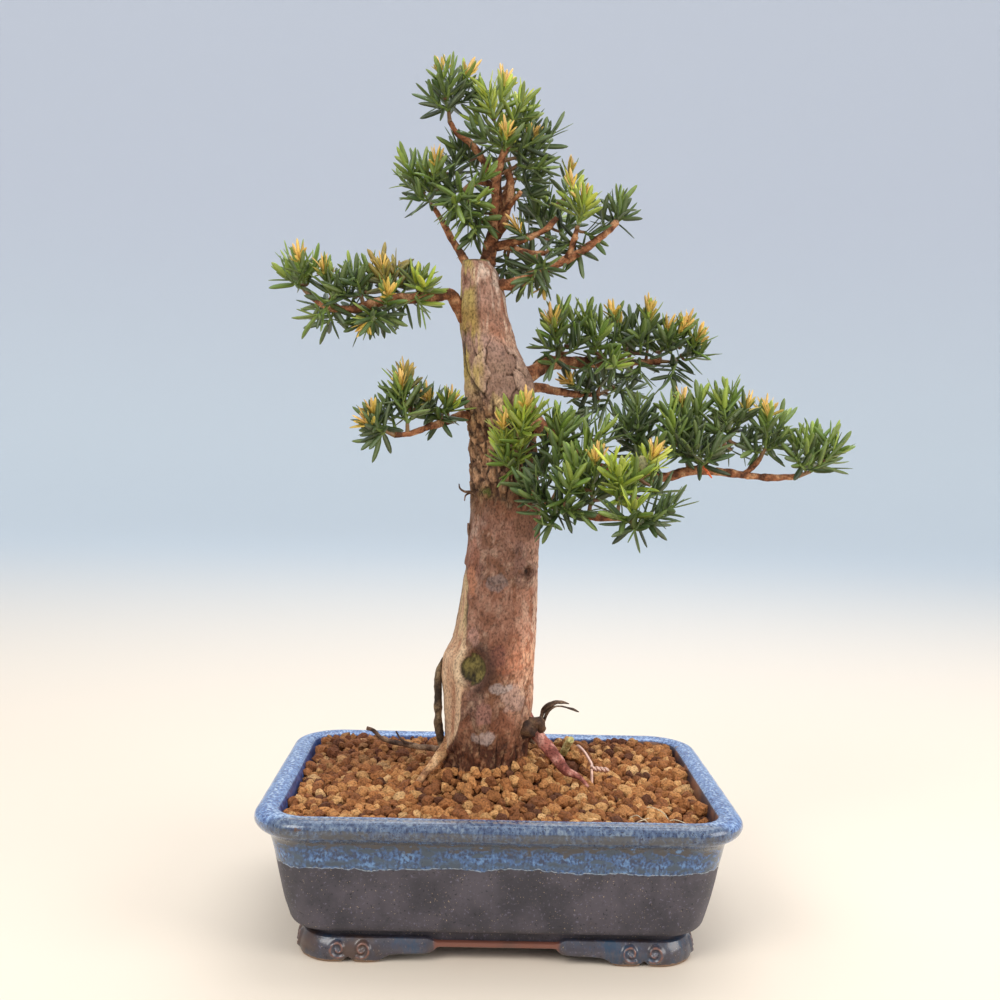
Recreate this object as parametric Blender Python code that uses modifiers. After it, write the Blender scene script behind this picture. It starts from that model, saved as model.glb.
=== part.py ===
# Japanese yew bonsai in its glazed rectangular pot, modelled as an assembly.
# Lengths below are in millimetres. MM turns them into Blender's metres.
# The pot stands on z = 0, the front of the tree looks along -Y, and the
# middle of the pot is x = 0, y = 0 until everything is moved to the middle
# of the whole tree by its parent empty.

import math
import random

import bmesh
import bpy
import numpy as np
from mathutils import Matrix, Vector
from mathutils.bvhtree import BVHTree
from mathutils.geometry import intersect_point_line

MM = 0.001
GAP = 0.3
WELD = 2e-5
SEED = 41

# Middle of the pot, measured from the middle of the whole tree.
POT_X = -33.2
POT_Y = 1.6

# Pot.
RIM_HALF_X = 134.0
RIM_HALF_Y = 100.0
RIM_RADIUS = 28.0
RIM_TOP = 83.0
RIM_WIDTH = 14.5
LIP_HEIGHT = 12.0
LIP_BOTTOM = RIM_TOP - LIP_HEIGHT
BODY_TOP_X = RIM_HALF_X - 10.0
BODY_TOP_Y = RIM_HALF_Y - 10.0
BODY_TOP_RADIUS = 25.0
BODY_FOOT_X = RIM_HALF_X - 24.5
BODY_FOOT_Y = RIM_HALF_Y - 20.5
BODY_FOOT_RADIUS = 20.0
BODY_BELLY = 1.5
BODY_BOTTOM = 18.0
WALL = 7.0
INNER_TOP_RADIUS = 16.0
INNER_FOOT_RADIUS = 14.0
FLOOR_TOP = 24.0
FLOOR_UNDERSIDE = 15.0
FRAME_HALF_X = 106.0
FRAME_HALF_Y = 76.0
FRAME_RADIUS = 18.0
FRAME_BOTTOM = 8.5
FRAME_TOP = 13.0
FRAME_WIDTH = 8.0
FRAME_INNER_RADIUS = 12.0
NECK_INSET = 3.5
FOOT_LENGTH = 73.0
FOOT_SIDE_SCALE = 0.68
FOOT_THICK = 12.0
FOOT_FLARE = 2.5
DRAIN_X = 55.0
DRAIN_RADIUS = 9.0

# Drain screens and tie wire.
SCREEN_SIZE = 30.0
SCREEN_THICK = 1.2
SCREEN_CELLS = 2
SCREEN_BAR = 1.5
WIRE_RADIUS = 0.95
WIRE_HOLE_RADIUS = 1.7
WIRE_IN_POT = 3

# Soil.
GRAIN = 16.0
GRAIN_RISE = 3.2
SOIL_LEVEL = 77.0
MOUND_X = -8.0
MOUND_RISE = 8.0
MOUND_REACH = 42.0

# Trunk and its burial in the soil.
TRUNK_SIDES = 14
TRUNK_FOOT = 50.0
BARK_RELIEF = 0.7
TAPER = 0.6

# Needles of the yew.
NEEDLE_WIDTH = 2.7
NEEDLE_THICK = 1.2
NEEDLE_LONG = 19.0
NEEDLE_SHORT = 9.5
YOUNG_WIDTH = 2.2
WHORL_HEIGHT = 1.5
WHORL_STEP = 11.5
ROSETTE_CORE = 4.5
CLEARANCE = 0.45
OWN_CLEARANCE = 2.6
BLADE_START = 3.8
NEEDLE_TRIES = 10
STEM_RADIUS = 1.2
SEAT_STEP = 0.05

# Height, middle x, middle y, half width in x and half depth in y.
TRUNK_RINGS = (
    (TRUNK_FOOT, -8, 0, 21, 20),
    (78, -8, 0, 25, 23),
    (92, -7, 0, 24.5, 24),
    (102, -7.5, 0, 26, 25),
    (114, -7, 0, 27, 26),
    (128, -6.5, 0, 28, 26),
    (144, -7.5, 0, 28.5, 26),
    (154, -7.0, 0, 28, 25.5),
    (163, -4.3, 1, 26, 24),
    (175, -3, 1, 24.6, 23),
    (190, -1.7, 1, 23.6, 22),
    (207, -0.3, 2, 22.2, 21),
    (225, 0.6, 2, 21.2, 20),
    (246, 0.8, 2, 20.2, 19),
    (268, -0.7, 2, 19.8, 18.5),
    (292, -3.2, 1, 20.3, 18.5),
    (310, -4.7, 1, 20.8, 18),
    (319, -5.6, 1, 20.4, 17.5),
    (329, -8.6, 0, 18.2, 16.5),
    (342, -12.2, 0, 16.2, 15.5),
    (356, -15.3, 0, 14.2, 14),
    (371, -16.8, 0, 12.4, 12.5),
    (387, -20, 0, 9.2, 10),
)

# Woody branches: centre-line points, then radius at the start and the end.
BRANCHES = {
    "leader": (((-15, 0, 380), (-13, 0, 396), (-9, 2, 414), (-9, 4, 428), (-9, 5, 440), (-7, 5, 448)),
               5.6, 2.0),
    "leader_back": (((-9, 2, 412), (-6, 8, 424), (-3, 14, 434), (-2, 19, 441)), 3.2, 1.7),
    "leader_arch": (((-10, 4, 428), (-14, 0, 433), (-20, -6, 433), (-26, -13, 429)), 2.8, 1.6),
    "crown": (((-10, 5, 436), (-18, 1, 447), (-26, -3, 456), (-34, -5, 461), (-38, -4, 467)), 2.7, 1.6),
    "leader_front": (((-8, 2, 414), (-1, -7, 421), (4, -14, 426)), 2.2, 1.4),
    "left_top": (((-23, 0, 380), (-29, 1, 391), (-36, 4, 402), (-42, 7, 413), (-46, 9, 419)), 3.2, 1.6),
    "mid": (((-12, 0, 396), (-2, 6, 399), (8, 13, 405), (16, 20, 409), (22, 26, 414)), 2.9, 1.5),
    "mid_low": (((-3, 5, 398), (3, -5, 394), (9, -14, 390)), 2.1, 1.4),
    "right_top": (((-12, 0, 368), (-3, 0, 374), (8, -3, 379), (20, -6, 385), (33, -8, 392), (45, -6, 400),
                   (55, -3, 407)), 4.2, 1.7),
    "right_top_twig": (((32, -8, 392), (35, -12, 398), (36, -14, 402)), 2.0, 1.4),
    "left_upper": (((-20, 0, 346), (-30, -3, 360), (-35, -6, 367), (-45, -11, 365), (-58, -16, 363),
                    (-70, -19, 362), (-82, -21, 358), (-94, -21, 355), (-106, -19, 357), (-115, -16, 362)),
                   5.0, 1.8),
    "left_lower": (((-16, 0, 293), (-26, -5, 297), (-35, -14, 293), (-46, -25, 289), (-56, -32, 285),
                    (-64, -37, 284)), 3.4, 1.5),
    "right_upper": (((4, 3, 316), (15, 7, 324), (22, 12, 329), (34, 19, 331), (50, 26, 332), (66, 31, 333),
                     (84, 36, 334), (96, 38, 335)), 6.2, 1.9),
    "right_back": (((8, 6, 312), (18, 13, 315), (30, 25, 314), (46, 42, 313), (60, 53, 314)), 3.6, 1.6),
    "right_long": (((6, 0, 304), (19, -8, 292), (34, -16, 279), (48, -20, 270), (70, -22, 265), (92, -22, 264),
                    (106, -20, 268), (122, -17, 268), (140, -14, 266), (158, -11, 265), (172, -10, 266)),
                   5.6, 1.7),
    "right_long_fork": (((112, -19, 269), (120, -17, 277), (126, -16, 283)), 2.4, 1.6),
    "right_long_twig": (((138, -14, 266), (145, -13, 271), (149, -12, 276)), 2.0, 1.4),
    "front_low": (((4, -6, 258), (14, -20, 253), (28, -37, 247), (46, -51, 242), (62, -60, 242)), 5.0, 1.7),
}

# Loose pieces of wood and root that are part of the trunk.
ROOTS = {
    "surface_root": (((12, 2, 124), (19, -2, 113), (26, -8, 106), (33, -14, 98), (40, -18, 92), (47, -21, 86),
                      (54, -24, 76)), (6.5, 4.6, 4.0, 3.8, 3.5, 3.1, 2.4)),
    "deadwood_root": (((-28, -2, 104), (-35, -9, 94), (-42, -16, 87), (-50, -22, 77)), (4.2, 3.4, 2.7, 2.0)),
    "curled_root": (((16, 3, 100), (24, 6, 108), (27, 8, 117), (31, 9, 123), (38, 8, 125), (46, 5, 121)),
                    (4.0, 2.6, 2.1, 1.8, 1.6, 1.0)),
    "dead_root": (((-24, 8, 94), (-38, 22, 90), (-50, 32, 92), (-58, 37, 97)), (2.4, 1.6, 1.3, 0.9)),
    "bark_strip": (((-33, -3, 150), (-37.5, -4, 143), (-38.5, -5, 126), (-36.5, -5, 108), (-32, -4, 94)),
                   (1.6, 2.2, 2.2, 2.0, 1.6)),
    "bark_flake": (((-18, 0, 240), (-21, -2, 243), (-25, -3, 249)), (2.2, 1.4, 0.8)),
    "bark_flake_low": (((-19, 0, 222), (-22, -1, 228), (-22.5, -1, 233)), (2.4, 1.6, 1.0)),
}

BURIED_ROOTS = ("surface_root", "deadwood_root", "dead_root")

# Knots: middle, outward direction, radius and length.
KNOTS = (
    ((-15, -19, 147), (-0.45, -0.88, 0.12), 7.8, 10.0),
    ((14, -15, 205), (0.55, -0.83, 0.0), 3.2, 6.0),
)

# Green sprays: colour, fork near the wood, then the end of the stem of each shoot.
SPRAYS = {
    "crown_top_left": ("dark", (-39, -3, 474), ((-44, -8, 489), (-51, -18, 479), (-31, 13, 496))),
    "crown_top": ("lime", (-6, 4, 455), ((-16, -6, 481), (4, 15, 486), (-5, -13, 458))),
    "crown_right": ("dark", (2, 8, 451), ((19, 18, 468), (21, 0, 450))),
    "crown_left": ("bright", (-50, 9, 425), ((-47, 1, 441), (-63, 0, 439))),
    "crown_front": ("bright", (-30, -20, 424), ((-35, -32, 411), (-19, -35, 414))),
    "crown_back": ("dark", (0, 24, 446), ((10, 41, 452), (19, 28, 437), (-10, 42, 458))),
    "mid_right_upper": ("bright", (27, 30, 420), ((20, 30, 434), (32, 46, 426))),
    "mid_right_lower": ("lime", (38, -15, 408), ((34, -8, 433), (42, -26, 421))),
    "low_right_end": ("dark", (60, 0, 413), ((63, 6, 427), (71, -10, 418))),
    "under_crown": ("dark", (15, -21, 387), ((10, -36, 376), (20, -38, 386))),
    "left_end": ("bright", (-120, -14, 367), ((-124, -8, 382), (-131, -24, 375))),
    "left_outer": ("bright", (-102, -22, 361), ((-106, -16, 375), (-112, -35, 346))),
    "left_middle": ("dark", (-86, -21, 364), ((-88, -30, 374), (-82, 2, 369))),
    "left_inner": ("olive", (-70, -14, 367), ((-75, -16, 380), (-62, -1, 378))),
    "left_lime": ("lime", (-51, -19, 367), ((-47, -32, 371),)),
    "left_under": ("dark", (-77, -25, 356), ((-78, -41, 345),)),
    "lower_left_top": ("bright", (-57, -34, 291), ((-61, -38, 313), (-52, -20, 303))),
    "lower_left_inner": ("dark", (-40, -17, 298), ((-47, -10, 304), (-32, -25, 302))),
    "lower_left_end": ("dark", (-69, -40, 286), ((-79, -48, 290), (-72, -30, 298), (-78, -35, 281))),
    "right_upper_1": ("bright", (32, 17, 337), ((27, 8, 352), (41, 33, 352))),
    "right_upper_2": ("bright", (58, 28, 338), ((50, 18, 355), (63, 5, 331))),
    "right_upper_3": ("dark", (76, 34, 338), ((68, 33, 357), (89, 40, 362))),
    "right_upper_4": ("bright", (96, 38, 341), ((99, 53, 354), (108, 27, 354))),
    "right_upper_end": ("dark", (103, 39, 335), ((119, 36, 347), (107, 35, 323))),
    "right_back": ("dark", (66, 58, 317), ((79, 70, 329), (60, 82, 330))),
    "right_long_1": ("dark", (77, -21, 271), ((77, -15, 307),)),
    "right_long_2": ("bright", (104, -20, 275), ((91, -31, 299), (103, -14, 305), (113, -2, 305))),
    "right_long_3": ("dark", (112, -24, 271), ((116, -42, 280),)),
    "right_long_4": ("bright", (129, -15, 289), ((124, -20, 312), (140, -2, 306))),
    "right_long_5": ("bright", (152, -12, 282), ((152, -18, 303), (165, 10, 289))),
    "right_long_end": ("bright", (180, -9, 269), ((173, -15, 290), (189, 8, 290), (199, -8, 285))),
    "front_low_1": ("lime", (6, -21, 264), ((-6, -34, 286), (8, -46, 300))),
    "front_low_2": ("bright", (28, -34, 254), ((30, -30, 299), (49, -36, 285))),
    "front_low_3": ("dark", (28, -44, 246), ((12, -58, 262), (34, -72, 247), (22, -64, 236))),
    "front_low_4": ("bright", (46, -52, 249), ((33, -68, 276), (50, -52, 274))),
    "front_low_5": ("lime", (61, -57, 249), ((58, -80, 271), (79, -60, 277))),
    "front_low_end": ("dark", (68, -66, 240), ((66, -88, 234), (84, -78, 242))),
}

# Young golden rosettes: the spray and the number of its shoot that each one tops.
ROSETTES = (
    ("crown_top", 2), ("crown_left", 0), ("mid_right_lower", 0), ("left_end", 0), ("left_outer", 0),
    ("left_inner", 0), ("left_inner", 1), ("lower_left_top", 0), ("lower_left_end", 0),
    ("right_upper_1", 0), ("right_upper_3", 0), ("right_upper_3", 1), ("right_upper_4", 1),
    ("right_upper_end", 0), ("right_long_5", 0), ("front_low_4", 1), ("front_low_5", 1),
)

# Ovoid bud among the front needles: the spray, its middle and its half sizes.
BUD = ("front_low_5", (70, -70, 265), 3.2, 4.4)

# Tie wire: one strand over the soil, one up to the twist, both down to the drain hole.
WIRE_LONG = ((60, 15, 12.6), (60, 5.5, 12.6), (60, 4, 16), (60, 4, 32), (50, 29, 70), (49, 31, 92),
             (51, 28, 97), (53, 22, 93), (56, 13, 88.5), (57.5, 5, 86))
WIRE_SHORT = ((60, -15, 12.6), (60, -5.5, 12.6), (60, -4, 16), (60, -4, 32), (57, -1, 80), (57, 0.5, 84))
TWIST_START = (57, 2, 85.2)
TWIST_END = (67, 0, 85)
TWIST_TURNS = 2.0

COLOURS = {
    "pot": ((0.085, 0.12, 0.23), 0.35),
    "soil": ((0.42, 0.21, 0.075), 0.95),
    "wood": ((0.25, 0.14, 0.095), 0.9),
    "wire": ((0.42, 0.25, 0.18), 0.4),
    "screen": ((0.02, 0.02, 0.02), 0.6),
    "dark": ((0.03, 0.085, 0.025), 0.5),
    "bright": ((0.09, 0.24, 0.035), 0.5),
    "lime": ((0.28, 0.4, 0.04), 0.5),
    "olive": ((0.3, 0.24, 0.04), 0.5),
    "golden": ((0.65, 0.36, 0.05), 0.5),
}


def clear_scene():
    for item in list(bpy.data.objects):
        bpy.data.objects.remove(item)


def new_collection(name):
    collection = bpy.data.collections.new(name)
    bpy.context.scene.collection.children.link(collection)
    return collection


def material(kind):
    """One Principled material for each finish."""
    name = "yew_" + kind
    if name in bpy.data.materials:
        return bpy.data.materials[name]
    colour, roughness = COLOURS[kind]
    made = bpy.data.materials.new(name)
    made.use_nodes = True
    shader = made.node_tree.nodes["Principled BSDF"]
    shader.inputs["Base Color"].default_value = (*colour, 1.0)
    shader.inputs["Roughness"].default_value = roughness
    shader.inputs["Metallic"].default_value = 0.9 if kind == "wire" else 0.0
    made.diffuse_color = (*colour, 1.0)
    return made


def mesh_object(name, mesh_builder, collection, kind=None):
    """An object from a closed bmesh, with its faces pointing out."""
    bmesh.ops.recalc_face_normals(mesh_builder, faces=mesh_builder.faces)
    if mesh_builder.calc_volume(signed=True) < 0:
        bmesh.ops.reverse_faces(mesh_builder, faces=mesh_builder.faces)
    mesh = bpy.data.meshes.new(name)
    mesh_builder.to_mesh(mesh)
    mesh_builder.free()
    made = bpy.data.objects.new(name, mesh)
    collection.objects.link(made)
    if kind:
        mesh.materials.append(material(kind))
    return made


def curve_to_mesh(curve, name, collection, kind=None):
    """A curve's evaluated surface as a closed mesh object, with its caps welded."""
    guide = bpy.data.objects.new(name + "_route", curve)
    collection.objects.link(guide)
    bpy.context.view_layer.update()
    depsgraph = bpy.context.evaluated_depsgraph_get()
    mesh = bpy.data.meshes.new_from_object(guide.evaluated_get(depsgraph))
    place = guide.matrix_world.copy()
    bpy.data.objects.remove(guide)
    builder = bmesh.new()
    builder.from_mesh(mesh)
    bpy.data.meshes.remove(mesh)
    bmesh.ops.remove_doubles(builder, verts=builder.verts, dist=1e-7)
    made = mesh_object(name, builder, collection, kind)
    made.matrix_world = place
    return made


def tube(name, points, radii, collection, kind=None, resolution=1):
    """A round bar along a list of points, with its own radius at each of them."""
    curve = bpy.data.curves.new(name, "CURVE")
    curve.dimensions = "3D"
    curve.bevel_depth = MM
    curve.bevel_resolution = resolution
    curve.use_fill_caps = True
    spline = curve.splines.new("POLY")
    spline.points.add(len(points) - 1)
    for point, place, radius in zip(spline.points, points, radii):
        point.co = (*(Vector(place) * MM), 1.0)
        point.radius = radius
    return curve_to_mesh(curve, name, collection, kind)


def plate(name, outline, thickness, place, collection):
    """A flat outline with thickness, centred on the plane of its place matrix."""
    curve = bpy.data.curves.new(name, "CURVE")
    curve.dimensions = "2D"
    curve.fill_mode = "BOTH"
    curve.extrude = thickness / 2 * MM
    spline = curve.splines.new("POLY")
    spline.points.add(len(outline) - 1)
    spline.use_cyclic_u = True
    for point, (across, up) in zip(spline.points, outline):
        point.co = (across * MM, up * MM, 0.0, 1.0)
    made = curve_to_mesh(curve, name, collection)
    made.data.transform(place)
    return made


def rounded_rectangle(half_x, half_y, radius, height, steps=4):
    """Points round a rectangle with round corners, at one height."""
    points = []
    for side_x, side_y, start in ((1, 1, 0), (-1, 1, 90), (-1, -1, 180), (1, -1, 270)):
        for step in range(steps + 1):
            angle = math.radians(start + 90 * step / steps)
            x = side_x * (half_x - radius) + radius * math.cos(angle)
            y = side_y * (half_y - radius) + radius * math.sin(angle)
            points.append(Vector((x, y, height)) * MM)
    return points


def loft(name, rings, collection, kind=None):
    """A closed body through rings of as many points each, capped at both ends."""
    builder = bmesh.new()
    loops = [[builder.verts.new(point) for point in ring] for ring in rings]
    for low, high in zip(loops, loops[1:]):
        for here in range(len(low)):
            after = (here + 1) % len(low)
            builder.faces.new((low[here], low[after], high[after], high[here]))
    builder.faces.new(list(reversed(loops[0])))
    builder.faces.new(loops[-1])
    return mesh_object(name, builder, collection, kind)


def apply_modifiers(item):
    """Keep the evaluated mesh and drop the modifiers."""
    bpy.context.view_layer.update()
    depsgraph = bpy.context.evaluated_depsgraph_get()
    mesh = bpy.data.meshes.new_from_object(item.evaluated_get(depsgraph))
    old = item.data
    item.modifiers.clear()
    item.data = mesh
    bpy.data.meshes.remove(old)


def boolean(item, operation, other, solver="EXACT"):
    """Join, cut or cross an object with another object or a whole collection, then remove that."""
    modifier = item.modifiers.new(operation.lower(), "BOOLEAN")
    modifier.operation = operation
    modifier.solver = solver
    if isinstance(other, bpy.types.Collection):
        modifier.operand_type = "COLLECTION"
        modifier.collection = other
        used = list(other.objects)
    else:
        modifier.object = other
        used = [other]
    apply_modifiers(item)
    for operand in used:
        bpy.data.objects.remove(operand)
    if isinstance(other, bpy.types.Collection):
        bpy.data.collections.remove(other)


def keep_largest_body(item):
    """Weld what touches, then drop loose scraps and sealed hollows: only the widest shell stays."""
    builder = bmesh.new()
    builder.from_mesh(item.data)
    bmesh.ops.triangulate(builder, faces=builder.faces)
    bmesh.ops.dissolve_degenerate(builder, edges=builder.edges, dist=WELD)
    waiting = set(builder.faces)
    shells = []
    while waiting:
        front = [waiting.pop()]
        shell = []
        while front:
            face = front.pop()
            shell.append(face)
            for edge in face.edges:
                if len(edge.link_faces) == 2:
                    fresh = [other for other in edge.link_faces if other in waiting]
                    waiting.difference_update(fresh)
                    front.extend(fresh)
        shells.append(shell)
    shells.sort(key=len)
    scraps = [face for shell in shells[:-1] for face in shell]
    bmesh.ops.delete(builder, geom=scraps, context="FACES")
    builder.to_mesh(item.data)
    builder.free()


def shade(item, angle=35.0):
    item.data.shade_smooth()
    item.data.set_sharp_from_angle(angle=math.radians(angle))


def foot_outline(length_scale):
    """The edge of one foot: two low lobes that swell from the corner and run out to the rail."""
    shape = ((0, FRAME_TOP), (-3, 6), (1, 0), (23, 0), (26, 2.6), (31, 0), (41, 0), (49, 4.3), (66, 5.2),
             (FOOT_LENGTH, FRAME_BOTTOM), (FOOT_LENGTH, FRAME_TOP))
    return [(across * length_scale, up) for across, up in shape]


def corner_matrix(side_x, side_y, along_y):
    """Takes a plate's own axes to the front, back or side face of the pot's frame."""
    if along_y:
        origin = Vector((side_x * (FRAME_HALF_X + FOOT_FLARE - FOOT_THICK / 2), side_y * FRAME_HALF_Y, 0))
        across = Vector((0, -side_y, 0))
    else:
        origin = Vector((side_x * FRAME_HALF_X, side_y * (FRAME_HALF_Y + FOOT_FLARE - FOOT_THICK / 2), 0))
        across = Vector((-side_x, 0, 0))
    up = Vector((0, 0, 1))
    turned = Matrix((across, up, across.cross(up))).transposed()
    return Matrix.Translation(origin * MM) @ turned.to_4x4()


def make_pot(parts, cutters):
    """Glazed stoneware: walls, lip, recessed foot frame, four cloud feet and two drain holes."""
    mouth_x = RIM_HALF_X - RIM_WIDTH
    mouth_y = RIM_HALF_Y - RIM_WIDTH
    inner_frame = (FRAME_HALF_X - FRAME_WIDTH, FRAME_HALF_Y - FRAME_WIDTH, FRAME_INNER_RADIUS)
    frame = (FRAME_HALF_X, FRAME_HALF_Y, FRAME_RADIUS)
    neck = (FRAME_HALF_X - NECK_INSET, FRAME_HALF_Y - NECK_INSET, FRAME_RADIUS - NECK_INSET)
    belly_x = (BODY_TOP_X + BODY_FOOT_X) / 2 + BODY_BELLY
    belly_y = (BODY_TOP_Y + BODY_FOOT_Y) / 2 + BODY_BELLY
    belly_radius = (BODY_TOP_RADIUS + BODY_FOOT_RADIUS) / 2
    levels = (
        (*inner_frame, FLOOR_UNDERSIDE),
        (*inner_frame, FRAME_BOTTOM),
        (*frame, FRAME_BOTTOM),
        (*frame, FRAME_TOP),
        (*neck, FRAME_TOP + 1),
        (*neck, BODY_BOTTOM),
        (BODY_FOOT_X - 3, BODY_FOOT_Y - 3, BODY_FOOT_RADIUS - 2, BODY_BOTTOM + 0.6),
        (BODY_FOOT_X, BODY_FOOT_Y, BODY_FOOT_RADIUS, BODY_BOTTOM + 4),
        (belly_x, belly_y, belly_radius, (BODY_BOTTOM + LIP_BOTTOM) / 2),
        (BODY_TOP_X, BODY_TOP_Y, BODY_TOP_RADIUS, LIP_BOTTOM - 1),
        (RIM_HALF_X - 3, RIM_HALF_Y - 3, RIM_RADIUS - 1, LIP_BOTTOM + 0.5),
        (RIM_HALF_X, RIM_HALF_Y, RIM_RADIUS, LIP_BOTTOM + 4),
        (RIM_HALF_X - 0.4, RIM_HALF_Y - 0.4, RIM_RADIUS, RIM_TOP - 3.8),
        (RIM_HALF_X - 3.2, RIM_HALF_Y - 3.2, RIM_RADIUS - 2, RIM_TOP - 0.9),
        (RIM_HALF_X - 6.5, RIM_HALF_Y - 6.5, RIM_RADIUS - 4, RIM_TOP),
        (mouth_x + 2, mouth_y + 2, INNER_TOP_RADIUS + 3, RIM_TOP - 0.5),
        (mouth_x, mouth_y, INNER_TOP_RADIUS + 1, RIM_TOP - 2.5),
        (BODY_TOP_X - WALL, BODY_TOP_Y - WALL, INNER_TOP_RADIUS, LIP_BOTTOM - 2),
        (BODY_FOOT_X - WALL, BODY_FOOT_Y - WALL, INNER_FOOT_RADIUS, FLOOR_TOP),
    )
    pot = loft("pot", [rounded_rectangle(*level) for level in levels], parts, "pot")

    feet = new_collection("feet")
    for side_x in (-1, 1):
        for side_y in (-1, 1):
            for along_y, scale in ((False, 1.0), (True, FOOT_SIDE_SCALE)):
                plate("foot", foot_outline(scale), FOOT_THICK, corner_matrix(side_x, side_y, along_y), feet)
    base = feet.objects[0]
    feet.objects.unlink(base)
    cutters.objects.link(base)
    boolean(base, "UNION", feet)
    envelope = loft("envelope", [
        rounded_rectangle(FRAME_HALF_X + flare, FRAME_HALF_Y + flare, FRAME_RADIUS, height)
        for flare, height in ((0, -1), (FOOT_FLARE, 5), (0, FRAME_TOP - 0.5))], cutters)
    boolean(base, "INTERSECT", envelope)
    boolean(pot, "UNION", base)

    for drain_x in (-DRAIN_X, DRAIN_X):
        drill = bmesh.new()
        bmesh.ops.create_cone(drill, cap_ends=True, segments=16, radius1=DRAIN_RADIUS * MM,
                              radius2=DRAIN_RADIUS * MM, depth=40 * MM)
        bmesh.ops.translate(drill, verts=drill.verts, vec=Vector((drain_x, 0, FLOOR_TOP)) * MM)
        boolean(pot, "DIFFERENCE", mesh_object("drain", drill, cutters))
    shade(pot)
    return pot


def make_screen(name, centre_x, parts):
    """A square plastic mesh over a drain hole: a grid whose cells are inset and opened."""
    builder = bmesh.new()
    half = SCREEN_SIZE / 2 * MM
    bmesh.ops.create_grid(builder, x_segments=SCREEN_CELLS, y_segments=SCREEN_CELLS, size=half)
    cells = list(builder.faces)
    bmesh.ops.inset_individual(builder, faces=cells, thickness=SCREEN_BAR * MM)
    bmesh.ops.delete(builder, geom=cells, context="FACES")
    height = FLOOR_TOP + GAP + SCREEN_THICK / 2
    bmesh.ops.translate(builder, verts=builder.verts, vec=Vector((centre_x, 0, height)) * MM)
    screen = mesh_object(name, builder, parts, "screen")
    solidify = screen.modifiers.new("thickness", "SOLIDIFY")
    solidify.thickness = SCREEN_THICK * MM
    solidify.offset = 0.0
    return screen


def trunk_ring(height, middle_x, middle_y, half_x, half_y, grow=0.0):
    """An oval section with the shallow plates and furrows of the bark."""
    points = []
    for side in range(TRUNK_SIDES):
        angle = math.tau * side / TRUNK_SIDES
        furrow = math.sin(5 * angle + height * 0.05) + 0.6 * math.sin(9 * angle - height * 0.11)
        swell = BARK_RELIEF * furrow + grow
        x = middle_x + (half_x + swell) * math.cos(angle)
        y = middle_y + (half_y + swell) * math.sin(angle)
        points.append(Vector((x, y, height)) * MM)
    return points


def tapered_radii(count, first, last):
    """Radii along a branch, which thins fast near its heel and slowly towards its end."""
    return [first + (last - first) * (step / (count - 1)) ** TAPER for step in range(count)]


def branch_lines():
    """All woody centre-lines as segments: start, end and the radii there."""
    segments = []
    for points, first, last in BRANCHES.values():
        radii = tapered_radii(len(points), first, last)
        for step in range(len(points) - 1):
            start, end = Vector(points[step]), Vector(points[step + 1])
            segments.append((start, end, radii[step], radii[step + 1]))
    return segments


def nearest_wood(place):
    """The point on the branches that a twig to this place grows from."""
    best = None
    for start, end, _, _ in branch_lines():
        point, share = intersect_point_line(place, start, end)
        point = start.lerp(end, min(max(share, 0.0), 1.0))
        distance = (point - place).length
        if best is None or distance < best[0]:
            best = (distance, point)
    return best[1]


def make_trunk(parts):
    """All the wood in one piece: trunk, deadwood, roots, knots, branches and twigs."""
    trunk = loft("trunk", [trunk_ring(*ring) for ring in TRUNK_RINGS], parts, "wood")
    wood = new_collection("wood")
    for name, (points, first, last) in BRANCHES.items():
        tube(name, points, tapered_radii(len(points), first, last), wood, resolution=1 if first > 3.5 else 0)
    for name, (points, radii) in ROOTS.items():
        tube(name, points, radii, wood, resolution=1 if radii[0] > 3.5 else 0)
    for middle, outward, radius, length in KNOTS:
        end = Vector(middle) + Vector(outward).normalized() * length
        tube("knot", (middle, end), (radius * 1.15, radius), wood, resolution=3)
    boolean(trunk, "UNION", wood)
    keep_largest_body(trunk)
    shade(trunk, 40.0)
    return trunk


def twist_points(phase):
    """One of two strands that turn round each other."""
    start, end = Vector(TWIST_START), Vector(TWIST_END)
    points = []
    steps = 8
    for step in range(steps + 1):
        share = step / steps
        angle = phase + math.tau * TWIST_TURNS * share
        side = Vector((0, math.cos(angle), math.sin(angle))) * WIRE_RADIUS * 0.85
        points.append(start.lerp(end, share) + side)
    return points


def make_tie_wire(parts):
    """Aluminium wire through the drain hole, twisted together over the root."""
    long_points = list(WIRE_LONG) + twist_points(0.5)
    short_points = list(WIRE_SHORT) + twist_points(0.5 + math.pi)[1:-1]
    wire = tube("tie_wire", long_points, [WIRE_RADIUS] * len(long_points), parts, "wire")
    other = new_collection("other_strand")
    tube("strand", short_points, [WIRE_RADIUS] * len(short_points), other)
    boolean(wire, "UNION", other, "MANIFOLD")
    keep_largest_body(wire)
    shade(wire)
    return wire


def grain_height(x, y, is_peak, rng):
    """Height of the soil's surface: the mound round the trunk, and a grain or the dip between grains."""
    reach = math.hypot(x - MOUND_X, y) / MOUND_REACH
    level = SOIL_LEVEL + MOUND_RISE * math.exp(-reach * reach)
    if is_peak:
        return level + GRAIN_RISE * rng.uniform(0.6, 1.4)
    return level + 0.4 * rng.random()


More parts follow.
